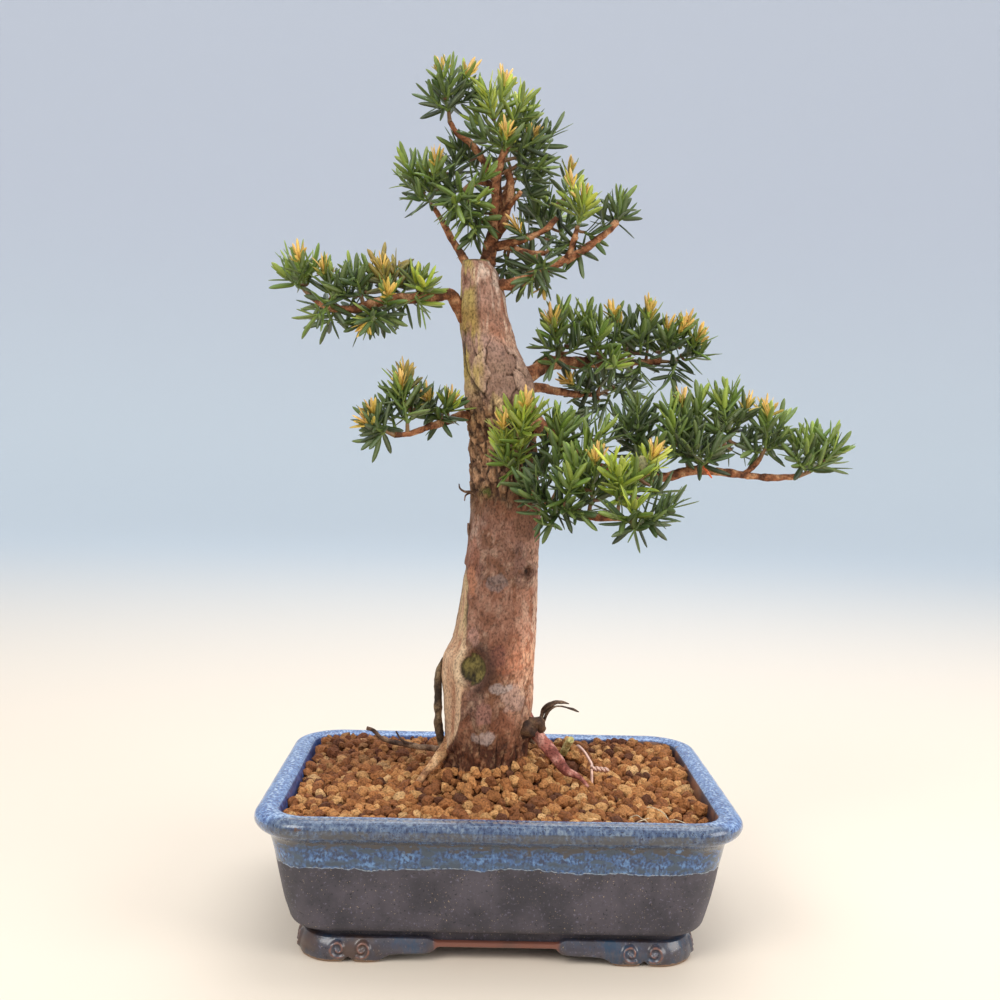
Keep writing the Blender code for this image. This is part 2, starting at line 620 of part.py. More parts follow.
def make_grains(cutters):
    """Coarse baked-clay grains: a block whose top is a triangular lattice, each third point a peak."""
    rng = random.Random(SEED)
    step = GRAIN / math.sqrt(3)
    row_height = step * math.sqrt(3) / 2
    columns = int(2 * RIM_HALF_X / step)
    rows = int(2 * RIM_HALF_Y / row_height)
    builder = bmesh.new()
    top = {}
    for row in range(rows + 1):
        for column in range(columns + 1):
            x = (column - columns / 2 + 0.5 * (row % 2)) * step
            y = (row - rows / 2) * row_height
            is_peak = (column - row // 2 + 2 * row) % 3 == 0
            x += step * rng.uniform(-0.1, 0.1)
            y += step * rng.uniform(-0.1, 0.1)
            top[row, column] = builder.verts.new(Vector((x, y, grain_height(x, y, is_peak, rng))) * MM)
    for row in range(rows):
        for column in range(columns):
            a, b = top[row, column], top[row, column + 1]
            c, d = top[row + 1, column], top[row + 1, column + 1]
            if row % 2:
                builder.faces.new((a, b, d))
                builder.faces.new((a, d, c))
            else:
                builder.faces.new((a, b, c))
                builder.faces.new((b, d, c))
    edge = [item for item in builder.edges if item.is_boundary]
    grown = bmesh.ops.extrude_edge_only(builder, edges=edge)["geom"]
    for vertex in (item for item in grown if isinstance(item, bmesh.types.BMVert)):
        vertex.co.z = FLOOR_UNDERSIDE * MM
    bottom = [item for item in grown if isinstance(item, bmesh.types.BMEdge)]
    bmesh.ops.contextual_create(builder, geom=bottom)
    return mesh_object("grains", builder, cutters)


def make_soil(parts, cutters):
    """The soil that fills the pot, with holes for the trunk, the roots, the wire and the drain screens."""
    clear = WALL + GAP + 0.1
    soil = loft("soil", [
        rounded_rectangle(BODY_FOOT_X - clear, BODY_FOOT_Y - clear, INNER_FOOT_RADIUS, FLOOR_TOP + GAP),
        rounded_rectangle(BODY_TOP_X - clear, BODY_TOP_Y - clear, INNER_TOP_RADIUS, LIP_BOTTOM - 2),
        rounded_rectangle(BODY_TOP_X - clear + 1.5, BODY_TOP_Y - clear + 1.5, INNER_TOP_RADIUS, RIM_TOP + 20),
    ], parts, "soil")
    boolean(soil, "INTERSECT", make_grains(cutters))

    hole_rings = [(TRUNK_FOOT - GAP - 0.2, *TRUNK_RINGS[0][1:])] + list(TRUNK_RINGS[1:5])
    trunk_hole = loft("trunk_hole", [trunk_ring(*ring, grow=0.4) for ring in hole_rings], cutters)
    boolean(soil, "DIFFERENCE", trunk_hole)
    for name in BURIED_ROOTS:
        points, radii = ROOTS[name]
        last = Vector(points[-1]) + (Vector(points[-1]) - Vector(points[-2])).normalized() * 0.5
        route = list(points[-3:-1]) + [last]
        grown = [radius + 0.6 for radius in radii[-3:]]
        boolean(soil, "DIFFERENCE", tube("root_hole", route, grown, cutters))
    for points in (WIRE_LONG, WIRE_SHORT):
        rising = points[WIRE_IN_POT:]
        route = [Vector(rising[0]) - Vector((0, 0, 12))] + list(rising)
        radii = [WIRE_HOLE_RADIUS] * len(route)
        boolean(soil, "DIFFERENCE", tube("wire_hole", route, radii, cutters, resolution=0))
    for centre_x in (-DRAIN_X, DRAIN_X):
        pocket = bmesh.new()
        size = Vector((SCREEN_SIZE + 1, SCREEN_SIZE + 1, 2 * (SCREEN_THICK + 2 * GAP))) * MM
        bmesh.ops.create_cube(pocket, size=1.0, matrix=Matrix.Diagonal((*size, 1.0)))
        bmesh.ops.translate(pocket, verts=pocket.verts, vec=Vector((centre_x, 0, FLOOR_TOP + GAP)) * MM)
        boolean(soil, "DIFFERENCE", mesh_object("pocket", pocket, cutters))
    keep_largest_body(soil)
    return soil


def segment_gaps(start, end, starts, ends):
    """Shortest distance from one segment to each of many others."""
    first = end - start
    others = ends - starts
    offset = start - starts
    a = max(float(first @ first), 1e-9)
    e = np.maximum((others * others).sum(1), 1e-9)
    b = others @ first
    c = offset @ first
    f = (others * offset).sum(1)
    spread = a * e - b * b
    with np.errstate(divide="ignore", invalid="ignore"):
        s = np.where(spread > 1e-9, np.clip((b * f - c * e) / np.maximum(spread, 1e-9), 0, 1), 0.0)
    t = np.clip((b * s + f) / e, 0, 1)
    s = np.clip((b * t - c) / a, 0, 1)
    nearest = offset + s[:, None] * first - t[:, None] * others
    return np.sqrt((nearest * nearest).sum(1))


class Occupied:
    """What is already in the crown: round bars, each with the node it belongs to."""

    def __init__(self):
        self.starts, self.ends, self.radii, self.owners = [], [], [], []

    def add(self, start, end, radius, owner):
        self.starts.append(tuple(start))
        self.ends.append(tuple(end))
        self.radii.append(radius)
        self.owners.append(owner)

    def room(self, start, end, radius, owner):
        """Smallest space left between this bar and the bars of other nodes."""
        mine = np.array([name != owner for name in self.owners])
        starts, ends = np.array(self.starts)[mine], np.array(self.ends)[mine]
        gaps = segment_gaps(np.array(start), np.array(end), starts, ends)
        return float((gaps - np.array(self.radii)[mine]).min()) - radius


def crosses(start, end, others):
    """Whether a needle runs into one of the needles already on its own spray."""
    if not others:
        return False
    starts = np.array([tuple(other[0]) for other in others])
    ends = np.array([tuple(other[1]) for other in others])
    return float(segment_gaps(np.array(start), np.array(end), starts, ends).min()) < OWN_CLEARANCE


def sideways(direction):
    """A unit vector square to the given one."""
    pole = Vector((0, 0, 1)) if abs(direction.z) < 0.9 else Vector((1, 0, 0))
    return direction.cross(pole).normalized()


def raise_needle(builder, face, direction, axis, length, width):
    """Draw one face of the stem out into a flat needle: flat below, ridged above, pointed."""
    low_left, low_right, high_right, high_left = face.verts
    root = face.calc_center_median()
    middle = root + direction * length * 0.45 * MM
    across = axis.cross(direction).normalized() * width / 2 * MM
    ridge = direction.cross(across).normalized() * NEEDLE_THICK * MM
    left = builder.verts.new(middle - across)
    right = builder.verts.new(middle + across)
    crest = builder.verts.new(middle + ridge)
    point = builder.verts.new(root + direction * length * MM)
    builder.faces.remove(face)
    for corners in ((low_left, low_right, right, left), (low_right, high_right, right),
                    (high_right, crest, right), (high_right, high_left, crest),
                    (high_left, left, crest), (high_left, low_left, left),
                    (left, right, point), (right, crest, point), (crest, left, point)):
        builder.faces.new(corners)


def raise_spike(builder, face, direction, length):
    """Draw one face of the stem out into a short young needle."""
    root = face.calc_center_median()
    tip = bmesh.ops.poke(builder, faces=[face])["verts"][0]
    tip.co = root + direction * length * MM


def square_ring(builder, centre, axis, side, turn, radius):
    """Four new points round a stem, square to its axis."""
    first = (side - axis * side.dot(axis)).normalized()
    second = axis.cross(first)
    ring = []
    for corner in range(4):
        angle = turn + corner * math.pi / 2
        out = first * math.cos(angle) + second * math.sin(angle)
        ring.append(builder.verts.new((centre + out * radius) * MM))
    return ring


def make_shoot(name, route, whorls, lengths, leans, crowd, rng, collection, kind=None):
    """A green stem with whorls of four needles, each whorl turned by half a step from the last."""
    owner, occupied, own = crowd
    start, end = route[-2:]
    axis = (end - start).normalized()
    side = sideways(axis)
    length = (end - start).length
    spin = rng.random() * math.tau
    spacing = (length - WHORL_HEIGHT) / max(whorls - 0.4, 0.6)
    first_low = length - WHORL_HEIGHT - spacing * (whorls - 1)

    builder = bmesh.new()
    rings = []
    if len(route) == 3:
        rings.append(square_ring(builder, route[0], (start - route[0]).normalized(), side, spin, STEM_RADIUS))
    rings.append(square_ring(builder, start, axis, side, spin, STEM_RADIUS))
    first_whorl = len(rings)
    for whorl in range(whorls):
        turn = spin + math.radians(45) * (whorl + 1)
        for station in (first_low + spacing * whorl, first_low + spacing * whorl + WHORL_HEIGHT):
            radius = STEM_RADIUS * (1 - 0.3 * station / length)
            rings.append(square_ring(builder, start + axis * station, axis, side, turn, radius))
    bands = []
    for low, high in zip(rings, rings[1:]):
        band = []
        for here in range(4):
            after = (here + 1) % 4
            band.append(builder.faces.new((low[here], low[after], high[after], high[here])))
        bands.append(band)
    builder.faces.new(list(reversed(rings[0])))
    builder.faces.new(rings[-1])

    width = YOUNG_WIDTH if kind == "golden" else NEEDLE_WIDTH
    for whorl in range(whorls):
        share = whorl / max(whorls - 1, 1)
        for face in bands[first_whorl + 2 * whorl]:
            root = face.calc_center_median() / MM
            away = root - start
            out = (away - axis * away.dot(axis)).normalized()
            for attempt in range(NEEDLE_TRIES):
                loosen = 1 + 0.3 * attempt
                lean = leans[0] + (leans[1] - leans[0]) * share + rng.uniform(-6, 6) * loosen
                reach = (lengths[0] + (lengths[1] - lengths[0]) * share) * rng.uniform(0.9, 1.08)
                reach *= 1.0 - 0.04 * attempt
                swing = axis.cross(out) * rng.uniform(-0.2, 0.2) * loosen
                direction = axis * math.cos(math.radians(lean)) + out * math.sin(math.radians(lean)) + swing
                direction.normalize()
                tip = root + direction * reach
                blade = (root + direction * BLADE_START, tip)
                if crosses(*blade, own):
                    continue
                if occupied.room(root + direction * 0.5, tip, width / 2, owner) > CLEARANCE:
                    if kind == "golden":
                        raise_spike(builder, face, direction, reach)
                    else:
                        raise_needle(builder, face, direction, axis, reach, width)
                    occupied.add(root, tip, width / 2, owner)
                    own.append(blade)
                    break
    return mesh_object(name, builder, collection, kind)


def seat_on_wood(surface, root, place):
    """Where a stem that runs from this place to its root in the wood ends, just clear of the bark."""
    along = (place - root).normalized()
    side = sideways(along)
    other = along.cross(side)
    samples = [Vector((0, 0, 0))]
    for step in range(8):
        angle = math.tau * step / 8
        samples.append((side * math.cos(angle) + other * math.sin(angle)) * STEM_RADIUS)
    distance = (place - root).length
    while distance > SEAT_STEP:
        centre = root + along * (distance - SEAT_STEP)
        gaps = [surface.find_nearest((centre + sample) * MM)[3] / MM for sample in samples]
        if min(gaps) < GAP:
            break
        distance -= SEAT_STEP
    return root + along * distance


def make_foliage(parts, trunk):
    """Every spray as one solid: forked green stems with their needles, then the golden rosettes."""
    rng = random.Random(SEED)
    surface = BVHTree.FromPolygons([vertex.co for vertex in trunk.data.vertices],
                                   [face.vertices for face in trunk.data.polygons])
    occupied = Occupied()
    for low, high in zip(TRUNK_RINGS, TRUNK_RINGS[1:]):
        start, end = Vector((low[1], low[2], low[0])), Vector((high[1], high[2], high[0]))
        occupied.add(start, end, low[3] + 1, "trunk")
    for start, end, first, last in branch_lines():
        occupied.add(start, end, max(first, last), "trunk")

    stems = {}
    for name, (_, foot, tips) in SPRAYS.items():
        fork = Vector(foot)
        start = seat_on_wood(surface, nearest_wood(fork), fork)
        stems[name] = (start, fork, [Vector(tip) for tip in tips])
        occupied.add(start, fork, STEM_RADIUS, name)
        for tip in stems[name][2]:
            occupied.add(fork, tip, STEM_RADIUS, name)

    rosettes = []
    for host, shoot in ROSETTES:
        name = host + "_tip_" + str(shoot + 1)
        _, fork, tips = stems[host]
        axis = (tips[shoot] - fork).normalized()
        start = tips[shoot] + axis * (GAP + 0.05)
        end = start + axis * ROSETTE_CORE
        occupied.add(start, end, STEM_RADIUS, name)
        rosettes.append((name, start, end))
    for name, start, end in rosettes:
        crowd = (name, occupied, [])
        reach = (NEEDLE_SHORT, NEEDLE_SHORT)
        make_shoot(name, (start, end), 2, reach, (48, 20), crowd, rng, parts, "golden")

    for name, (kind, _, _) in SPRAYS.items():
        start, fork, tips = stems[name]
        own = [(start, fork)] + [(fork, tip) for tip in tips]
        crowd = (name, occupied, own)
        topped = [shoot for host, shoot in ROSETTES if host == name]
        pieces = new_collection("pieces")
        for shoot, tip in enumerate(tips):
            along = (tip - fork).normalized()
            whorls = max(1 if shoot in topped else 2, round((tip - fork).length / WHORL_STEP))
            leans = (78, 55) if shoot in topped else (74, 30)
            reach = (NEEDLE_LONG, 0.85 * NEEDLE_LONG)
            if shoot == 0:
                spray = make_shoot(name, (start, fork, tip), whorls, reach, leans, crowd, rng, parts, kind)
            else:
                make_shoot("shoot", (fork - along * 0.8, tip), whorls, reach, leans, crowd, rng, pieces)
        if name == BUD[0]:
            middle = Vector(BUD[1])
            tube("bud_stem", (fork, middle), (STEM_RADIUS, STEM_RADIUS), pieces, resolution=0)
            bud = bmesh.new()
            bmesh.ops.create_uvsphere(bud, u_segments=8, v_segments=6, radius=BUD[2] * MM)
            bmesh.ops.scale(bud, vec=(1, 1, BUD[3] / BUD[2]), verts=bud.verts)
            bmesh.ops.translate(bud, verts=bud.verts, vec=middle * MM)
            mesh_object("bud", bud, pieces)
        if len(pieces.objects):
            boolean(spray, "UNION", pieces, "MANIFOLD")
            keep_largest_body(spray)
        else:
            bpy.data.collections.remove(pieces)


def main():
    clear_scene()
    parts = new_collection("japanese_yew_bonsai")
    cutters = new_collection("cutters")
    make_pot(parts, cutters)
    make_screen("drain_screen_left", -DRAIN_X, parts)
    make_screen("drain_screen_right", DRAIN_X, parts)
    make_soil(parts, cutters)
    trunk = make_trunk(parts)
    make_tie_wire(parts)
    make_foliage(parts, trunk)

    centre = bpy.data.objects.new("tree_centre", None)
    parts.objects.link(centre)
    centre.location = Vector((POT_X, POT_Y, 0)) * MM
    for item in parts.objects:
        if item.type == "MESH":
            item.parent = centre


main()
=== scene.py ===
# Japanese yew bonsai in its glazed pot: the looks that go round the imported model.
# Shapes are worked out in millimetres round the middle of the pot, as in the
# construction, and moved to the frame of the whole tree when a piece is made.

import math

import bmesh
import bpy
import numpy as np
from mathutils import Matrix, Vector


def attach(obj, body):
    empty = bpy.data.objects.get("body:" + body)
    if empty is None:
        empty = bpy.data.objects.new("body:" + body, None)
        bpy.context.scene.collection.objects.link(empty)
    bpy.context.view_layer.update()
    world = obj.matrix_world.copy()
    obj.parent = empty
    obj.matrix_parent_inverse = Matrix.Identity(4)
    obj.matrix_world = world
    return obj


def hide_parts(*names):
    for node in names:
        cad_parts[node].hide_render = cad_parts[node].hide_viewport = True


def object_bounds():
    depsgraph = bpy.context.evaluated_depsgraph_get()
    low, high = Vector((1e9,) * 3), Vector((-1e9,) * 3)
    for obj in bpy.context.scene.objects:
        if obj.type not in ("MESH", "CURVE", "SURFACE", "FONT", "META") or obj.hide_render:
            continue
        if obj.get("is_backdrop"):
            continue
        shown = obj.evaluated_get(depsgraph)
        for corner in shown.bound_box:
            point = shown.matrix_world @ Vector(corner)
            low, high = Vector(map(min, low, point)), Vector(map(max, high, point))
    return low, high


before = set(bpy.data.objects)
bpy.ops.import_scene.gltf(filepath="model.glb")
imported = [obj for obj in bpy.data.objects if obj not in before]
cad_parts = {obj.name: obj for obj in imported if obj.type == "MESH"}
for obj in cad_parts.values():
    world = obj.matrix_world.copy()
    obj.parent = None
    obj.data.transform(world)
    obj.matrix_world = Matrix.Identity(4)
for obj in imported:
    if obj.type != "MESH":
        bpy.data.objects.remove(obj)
cad_box = [list(corner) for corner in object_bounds()]

# Pot. Stoneware pressed in a mould: a rolled lip, tapering walls, a recessed
# neck and a floor with two drain holes. The lip and a band below it are dipped
# in a streaky blue glaze, and the body under the drips is a matt speckled slate.
POT_MIDDLE = np.array((-33.2, 1.6, 0.0))
METRES = 0.001
TAU = math.tau

POT_LEVELS = np.array((  # half width, half depth, corner radius, height
    (102.5, 72.5, 14, 24), (103.2, 73.2, 14, 26.5), (116.6, 82.6, 16, 67), (117, 83, 16, 69),
    (117.9, 83.8, 16.5, 76), (118.6, 84.3, 17, 79.4), (119.7, 85.3, 18, 81.6), (122.2, 87.7, 20, 82.7),
    (126.4, 92.0, 25, 83), (129.6, 95.2, 28, 82.3), (132.1, 97.6, 30, 80.4), (133.0, 98.5, 31, 77.6),
    (132.6, 98.1, 31, 75.4), (130.8, 96.4, 29.5, 73), (128.0, 93.9, 27, 71.2), (125.6, 91.5, 25.6, 69.4),
    (124.2, 90.2, 25, 66.8), (123.5, 89.6, 24.9, 64), (121.8, 88.4, 23.9, 57), (119.3, 86.5, 22.5, 44.5),
    (116.9, 84.5, 21.3, 33), (114.4, 82.5, 20.3, 24.5), (113.2, 81.5, 19.9, 20.4), (110.6, 79.6, 19, 17.8),
    (106, 75.6, 17, 16.7), (103.2, 73.2, 15, 16.3), (102.4, 72.4, 14.5, 15.2), (102.4, 72.4, 14.5, 9.6),
    (101, 71, 13.5, 8.8), (98.6, 68.6, 12.2, 9.2), (98, 68, 12, 10.6), (98, 68, 12, 15)))
LEVEL_INSIDE = 8
DRAIN_X = 55.0
DRAIN_RADIUS = 9.0
DRAIN_SIDES = 48
DRILL_HEIGHTS = (5.0, 40.0)


def ramp(values, start, end):
    """0 before start, 1 after end, and 3t squared - 2t cubed of the share t between them."""
    share = np.clip((values - start) / (end - start), 0, 1)
    return share * share * (3 - 2 * share)


def cell_value(cell, salt=0):
    """A random number from -1 to 1 for each whole-numbered cell, from the mixed bits of its place."""
    x, y, z = np.moveaxis(cell, -1, 0)
    mixed = (x * 73856093) ^ (y * 19349663) ^ (z * 83492791) ^ (salt * 40503001)
    mixed = ((mixed ^ (mixed >> 13)) * 1274126177) & 0xFFFFFFFF
    return (mixed ^ (mixed >> 16)) / 2.0 ** 31 - 1.0


def lattice_noise(points, size, seed=0):
    """Random values at the corners of cells of this size, blended by 3t squared - 2t cubed: -1 to 1."""
    place = points / np.asarray(size, float) + 19.37 * (seed + 1)
    cell = np.floor(place).astype(np.int64)
    share = place - cell
    share = share * share * (3 - 2 * share)
    total = np.zeros(points.shape[:-1])
    for corner in np.ndindex(2, 2, 2):
        step = np.array(corner)
        total += cell_value(cell + step) * np.prod(np.where(step, share, 1 - share), axis=-1)
    return total


def flakes(points, size, seed=0):
    """Cells round random middles: the second nearest distance less the first, and the cell's own value."""
    place = points / np.asarray(size, float) + 7.13 * (seed + 1)
    cell = np.floor(place).astype(np.int64)
    first = np.full(points.shape[:-1], 9.0)
    second, value = first.copy(), 0 * first
    for corner in np.ndindex(3, 3, 3):
        near = cell + np.array(corner) - 1
        middle = near + 0.5 + 0.42 * np.stack([cell_value(near, salt) for salt in (1, 2, 3)], -1)
        distance = np.linalg.norm(place - middle, axis=-1)
        closer = distance < first
        second = np.where(closer, first, np.minimum(second, distance))
        value = np.where(closer, cell_value(near, 4), value)
        first = np.where(closer, distance, first)
    return second - first, value


def rough_noise(points, size, octaves, seed=0):
    """Noise of this size, plus the same at half the size and half the height, and so on."""
    size = np.asarray(size, float)
    return sum(lattice_noise(points, size / 2 ** level, seed + level) / 2 ** level
               for level in range(octaves))


def corner_cut(profile, times):
    """A softer profile: each round puts new points at a quarter and three quarters of every span."""
    for _ in range(times):
        quarter = 0.75 * profile[:-1] + 0.25 * profile[1:]
        three = 0.25 * profile[:-1] + 0.75 * profile[1:]
        inner = np.stack([quarter, three], 1).reshape(-1, profile.shape[1])
        profile = np.concatenate([profile[:1], inner[1:-1], profile[-1:]])
    return profile


def pot_loop(along_x, along_y, round_corner):
    """Corner signs and outward directions round a rectangle: straight runs, then quarter turns."""
    pieces = []
    runs = ((1, 1, 0, along_x), (-1, 1, 90, along_y), (-1, -1, 180, along_x), (1, -1, 270, along_y))
    for side_x, side_y, start, count in runs:
        turn = np.radians(start + 90 * np.arange(round_corner) / round_corner)
        pieces.append(np.stack([np.full(round_corner, side_x), np.full(round_corner, side_y),
                                np.cos(turn), np.sin(turn)], 1))
        share = np.arange(count) / count
        after = math.radians(start + 90)
        next_x, next_y = (-side_x, side_y) if start in (0, 180) else (side_x, -side_y)
        pieces.append(np.stack([side_x + (next_x - side_x) * share, side_y + (next_y - side_y) * share,
                                np.full(count, math.cos(after)), np.full(count, math.sin(after))], 1))
    return np.concatenate(pieces)


def loop_points(loop, half_x, half_y, radius, height):
    """Sign times (half size - radius) plus direction times radius, at each height."""
    x = loop[:, 0] * (half_x - radius) + loop[:, 2] * radius
    y = loop[:, 1] * (half_y - radius) + loop[:, 3] * radius
    return np.stack([x, y, np.broadcast_to(height, x.shape)], -1)


def grid_faces(rows, columns, wrap_rows=False):
    """Four-sided faces between neighbouring rows of points that close round into rings."""
    row = np.arange(rows if wrap_rows else rows - 1)[:, None]
    column = np.arange(columns)[None, :]
    after = (column + 1) % columns
    above = (row + 1) % rows
    corners = (row * columns + column, row * columns + after,
               above * columns + after, above * columns + column)
    return np.stack(np.broadcast_arrays(*corners), -1).reshape(-1, 4)


def fan_faces(pole, first, columns, outward):
    """Triangles from one pole point to a ring of points."""
    here = first + np.arange(columns)
    after = first + (np.arange(columns) + 1) % columns
    ring = (here, after) if outward else (after, here)
    return np.stack([np.full(columns, pole), *ring], -1)


def capped_tube(rings):
    """Rings of points as one closed body: faces between the rings, and a fan over each end."""
    rows, columns = rings.shape[:2]
    count = rows * columns
    points = np.concatenate([rings.reshape(-1, 3), rings[:1].mean(1), rings[-1:].mean(1)])
    ends = [fan_faces(count, 0, columns, False), fan_faces(count + 1, count - columns, columns, True)]
    return points, [grid_faces(rows, columns), np.concatenate(ends)]


def add_piece(name, points, faces, finish, stands_for=(), marks=None, smooth=True):
    """A mesh of points in millimetres round the pot's middle; the faces are arrays of equal-sided ones."""
    counts = np.concatenate([np.full(len(part), part.shape[1]) for part in faces])
    corners = np.concatenate([part.reshape(-1) for part in faces])
    mesh = bpy.data.meshes.new(name)
    mesh.vertices.add(len(points))
    mesh.vertices.foreach_set("co", ((points + POT_MIDDLE) * METRES).astype(np.float32).ravel())
    mesh.loops.add(len(corners))
    mesh.loops.foreach_set("vertex_index", corners.astype(np.int32))
    mesh.polygons.add(len(counts))
    mesh.polygons.foreach_set("loop_start", (np.cumsum(counts) - counts).astype(np.int32))
    mesh.polygons.foreach_set("use_smooth", np.full(len(counts), smooth))
    mesh.update(calc_edges=True)
    for mark, values in (marks or {}).items():
        if values.ndim == 2:
            colours = np.concatenate([values, np.ones((len(values), 1))], 1)
            mesh.attributes.new(mark, "FLOAT_COLOR", "POINT").data.foreach_set("color", colours.ravel())
        else:
            mesh.attributes.new(mark, "FLOAT", "POINT").data.foreach_set("value", values.ravel())
    mesh.materials.append(finish)
    piece = bpy.data.objects.new(name, mesh)
    bpy.context.scene.collection.objects.link(piece)
    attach(piece, "root")
    if stands_for:
        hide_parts(*stands_for)
    return piece


def paint(red, green, blue):
    """A colour as seen, 0 to 255, turned into the linear light that shaders reckon with."""
    seen = np.array((red, green, blue)) / 255
    return np.where(seen > 0.04045, ((seen + 0.055) / 1.055) ** 2.4, seen / 12.92)


class Tone:
    """One socket of a material's nodes. Sums, products and powers of tones add Math nodes."""

    def __init__(self, tree, socket=None):
        self.tree, self.socket = tree, socket

    def node(self, kind, settings, sockets, output=0):
        """Any node: its settings first, then the values or links of its sockets."""
        made = self.tree.nodes.new(kind)
        for key, value in settings.items():
            setattr(made, key, value)
        for key, value in sockets.items():
            if isinstance(value, Tone):
                self.tree.links.new(value.socket, made.inputs[key])
            else:
                made.inputs[key].default_value = value
        return Tone(self.tree, made.outputs[output])

    def sums(self, operation, *values):
        return self.node("ShaderNodeMath", {"operation": operation}, dict(enumerate(values)))

    def __add__(self, other):
        return self.sums("ADD", self, other)

    def __radd__(self, other):
        return self.sums("ADD", other, self)

    def __sub__(self, other):
        return self.sums("SUBTRACT", self, other)

    def __rsub__(self, other):
        return self.sums("SUBTRACT", other, self)

    def __mul__(self, other):
        return self.sums("MULTIPLY", self, other)

    def __rmul__(self, other):
        return self.sums("MULTIPLY", other, self)

    def between(self, start, end):
        """0 below start and 1 above end, smoothly."""
        settings = {"interpolation_type": "SMOOTHSTEP"}
        return self.node("ShaderNodeMapRange", settings, {0: self, 1: start, 2: end, 3: 0.0, 4: 1.0})

    def mix(self, low, high):
        """The low colour where this tone is 0 and the high one where it is 1."""
        colours = {}
        for key, value in ((6, low), (7, high)):
            colours[key] = value if isinstance(value, Tone) else (*value, 1.0)
        return self.node("ShaderNodeMix", {"data_type": "RGBA"}, {0: self, **colours}, output=2)

    def times(self, other):
        """This colour multiplied by another colour or tone."""
        sockets = {0: 1.0, 6: self, 7: other if isinstance(other, Tone) else (*other, 1.0)}
        return self.node("ShaderNodeMix", {"data_type": "RGBA", "blend_type": "MULTIPLY"}, sockets, output=2)

    def spots(self, size, stretch=(1, 1, 1), detail=3.0):
        """Noise, 0 to 1, on the piece's own coordinates: blotches of this many millimetres."""
        place = self.node("ShaderNodeTexCoord", {}, {}, output=3)
        scale = [1 / part for part in stretch]
        scaled = self.node("ShaderNodeMapping", {}, {"Vector": place, "Scale": scale})
        sockets = {"Vector": scaled, "Scale": 1 / (size * METRES), "Detail": detail}
        return self.node("ShaderNodeTexNoise", {}, sockets)

    def along(self, axis):
        """The piece's own X, Y or Z in millimetres."""
        place = self.node("ShaderNodeTexCoord", {}, {}, output=3)
        return self.node("ShaderNodeSeparateXYZ", {}, {0: place}, output=axis) * (1 / METRES)

    def mark(self, name, output=0):
        """A value or colour that the mesh carries: output 0 is its colour and 2 its value."""
        return self.node("ShaderNodeAttribute", {"attribute_name": name}, {}, output=output)

    def bump(self, strength, distance):
        """The normal of a surface that stands up by this tone times the distance, in millimetres."""
        sockets = {"Strength": strength, "Distance": distance * METRES, "Height": self}
        return self.node("ShaderNodeBump", {}, sockets)

    def feed(self, socket):
        self.tree.links.new(self.socket, self.tree.nodes["Principled BSDF"].inputs[socket])


def new_finish(name, **constants):
    """A Principled material with its constant sockets set, and the tone to build its pattern from."""
    finish = bpy.data.materials.new(name)
    finish.use_nodes = True
    shader = finish.node_tree.nodes["Principled BSDF"]
    for key, value in constants.items():
        shader.inputs[key.replace("_", " ")].default_value = value
    return finish, Tone(finish.node_tree)


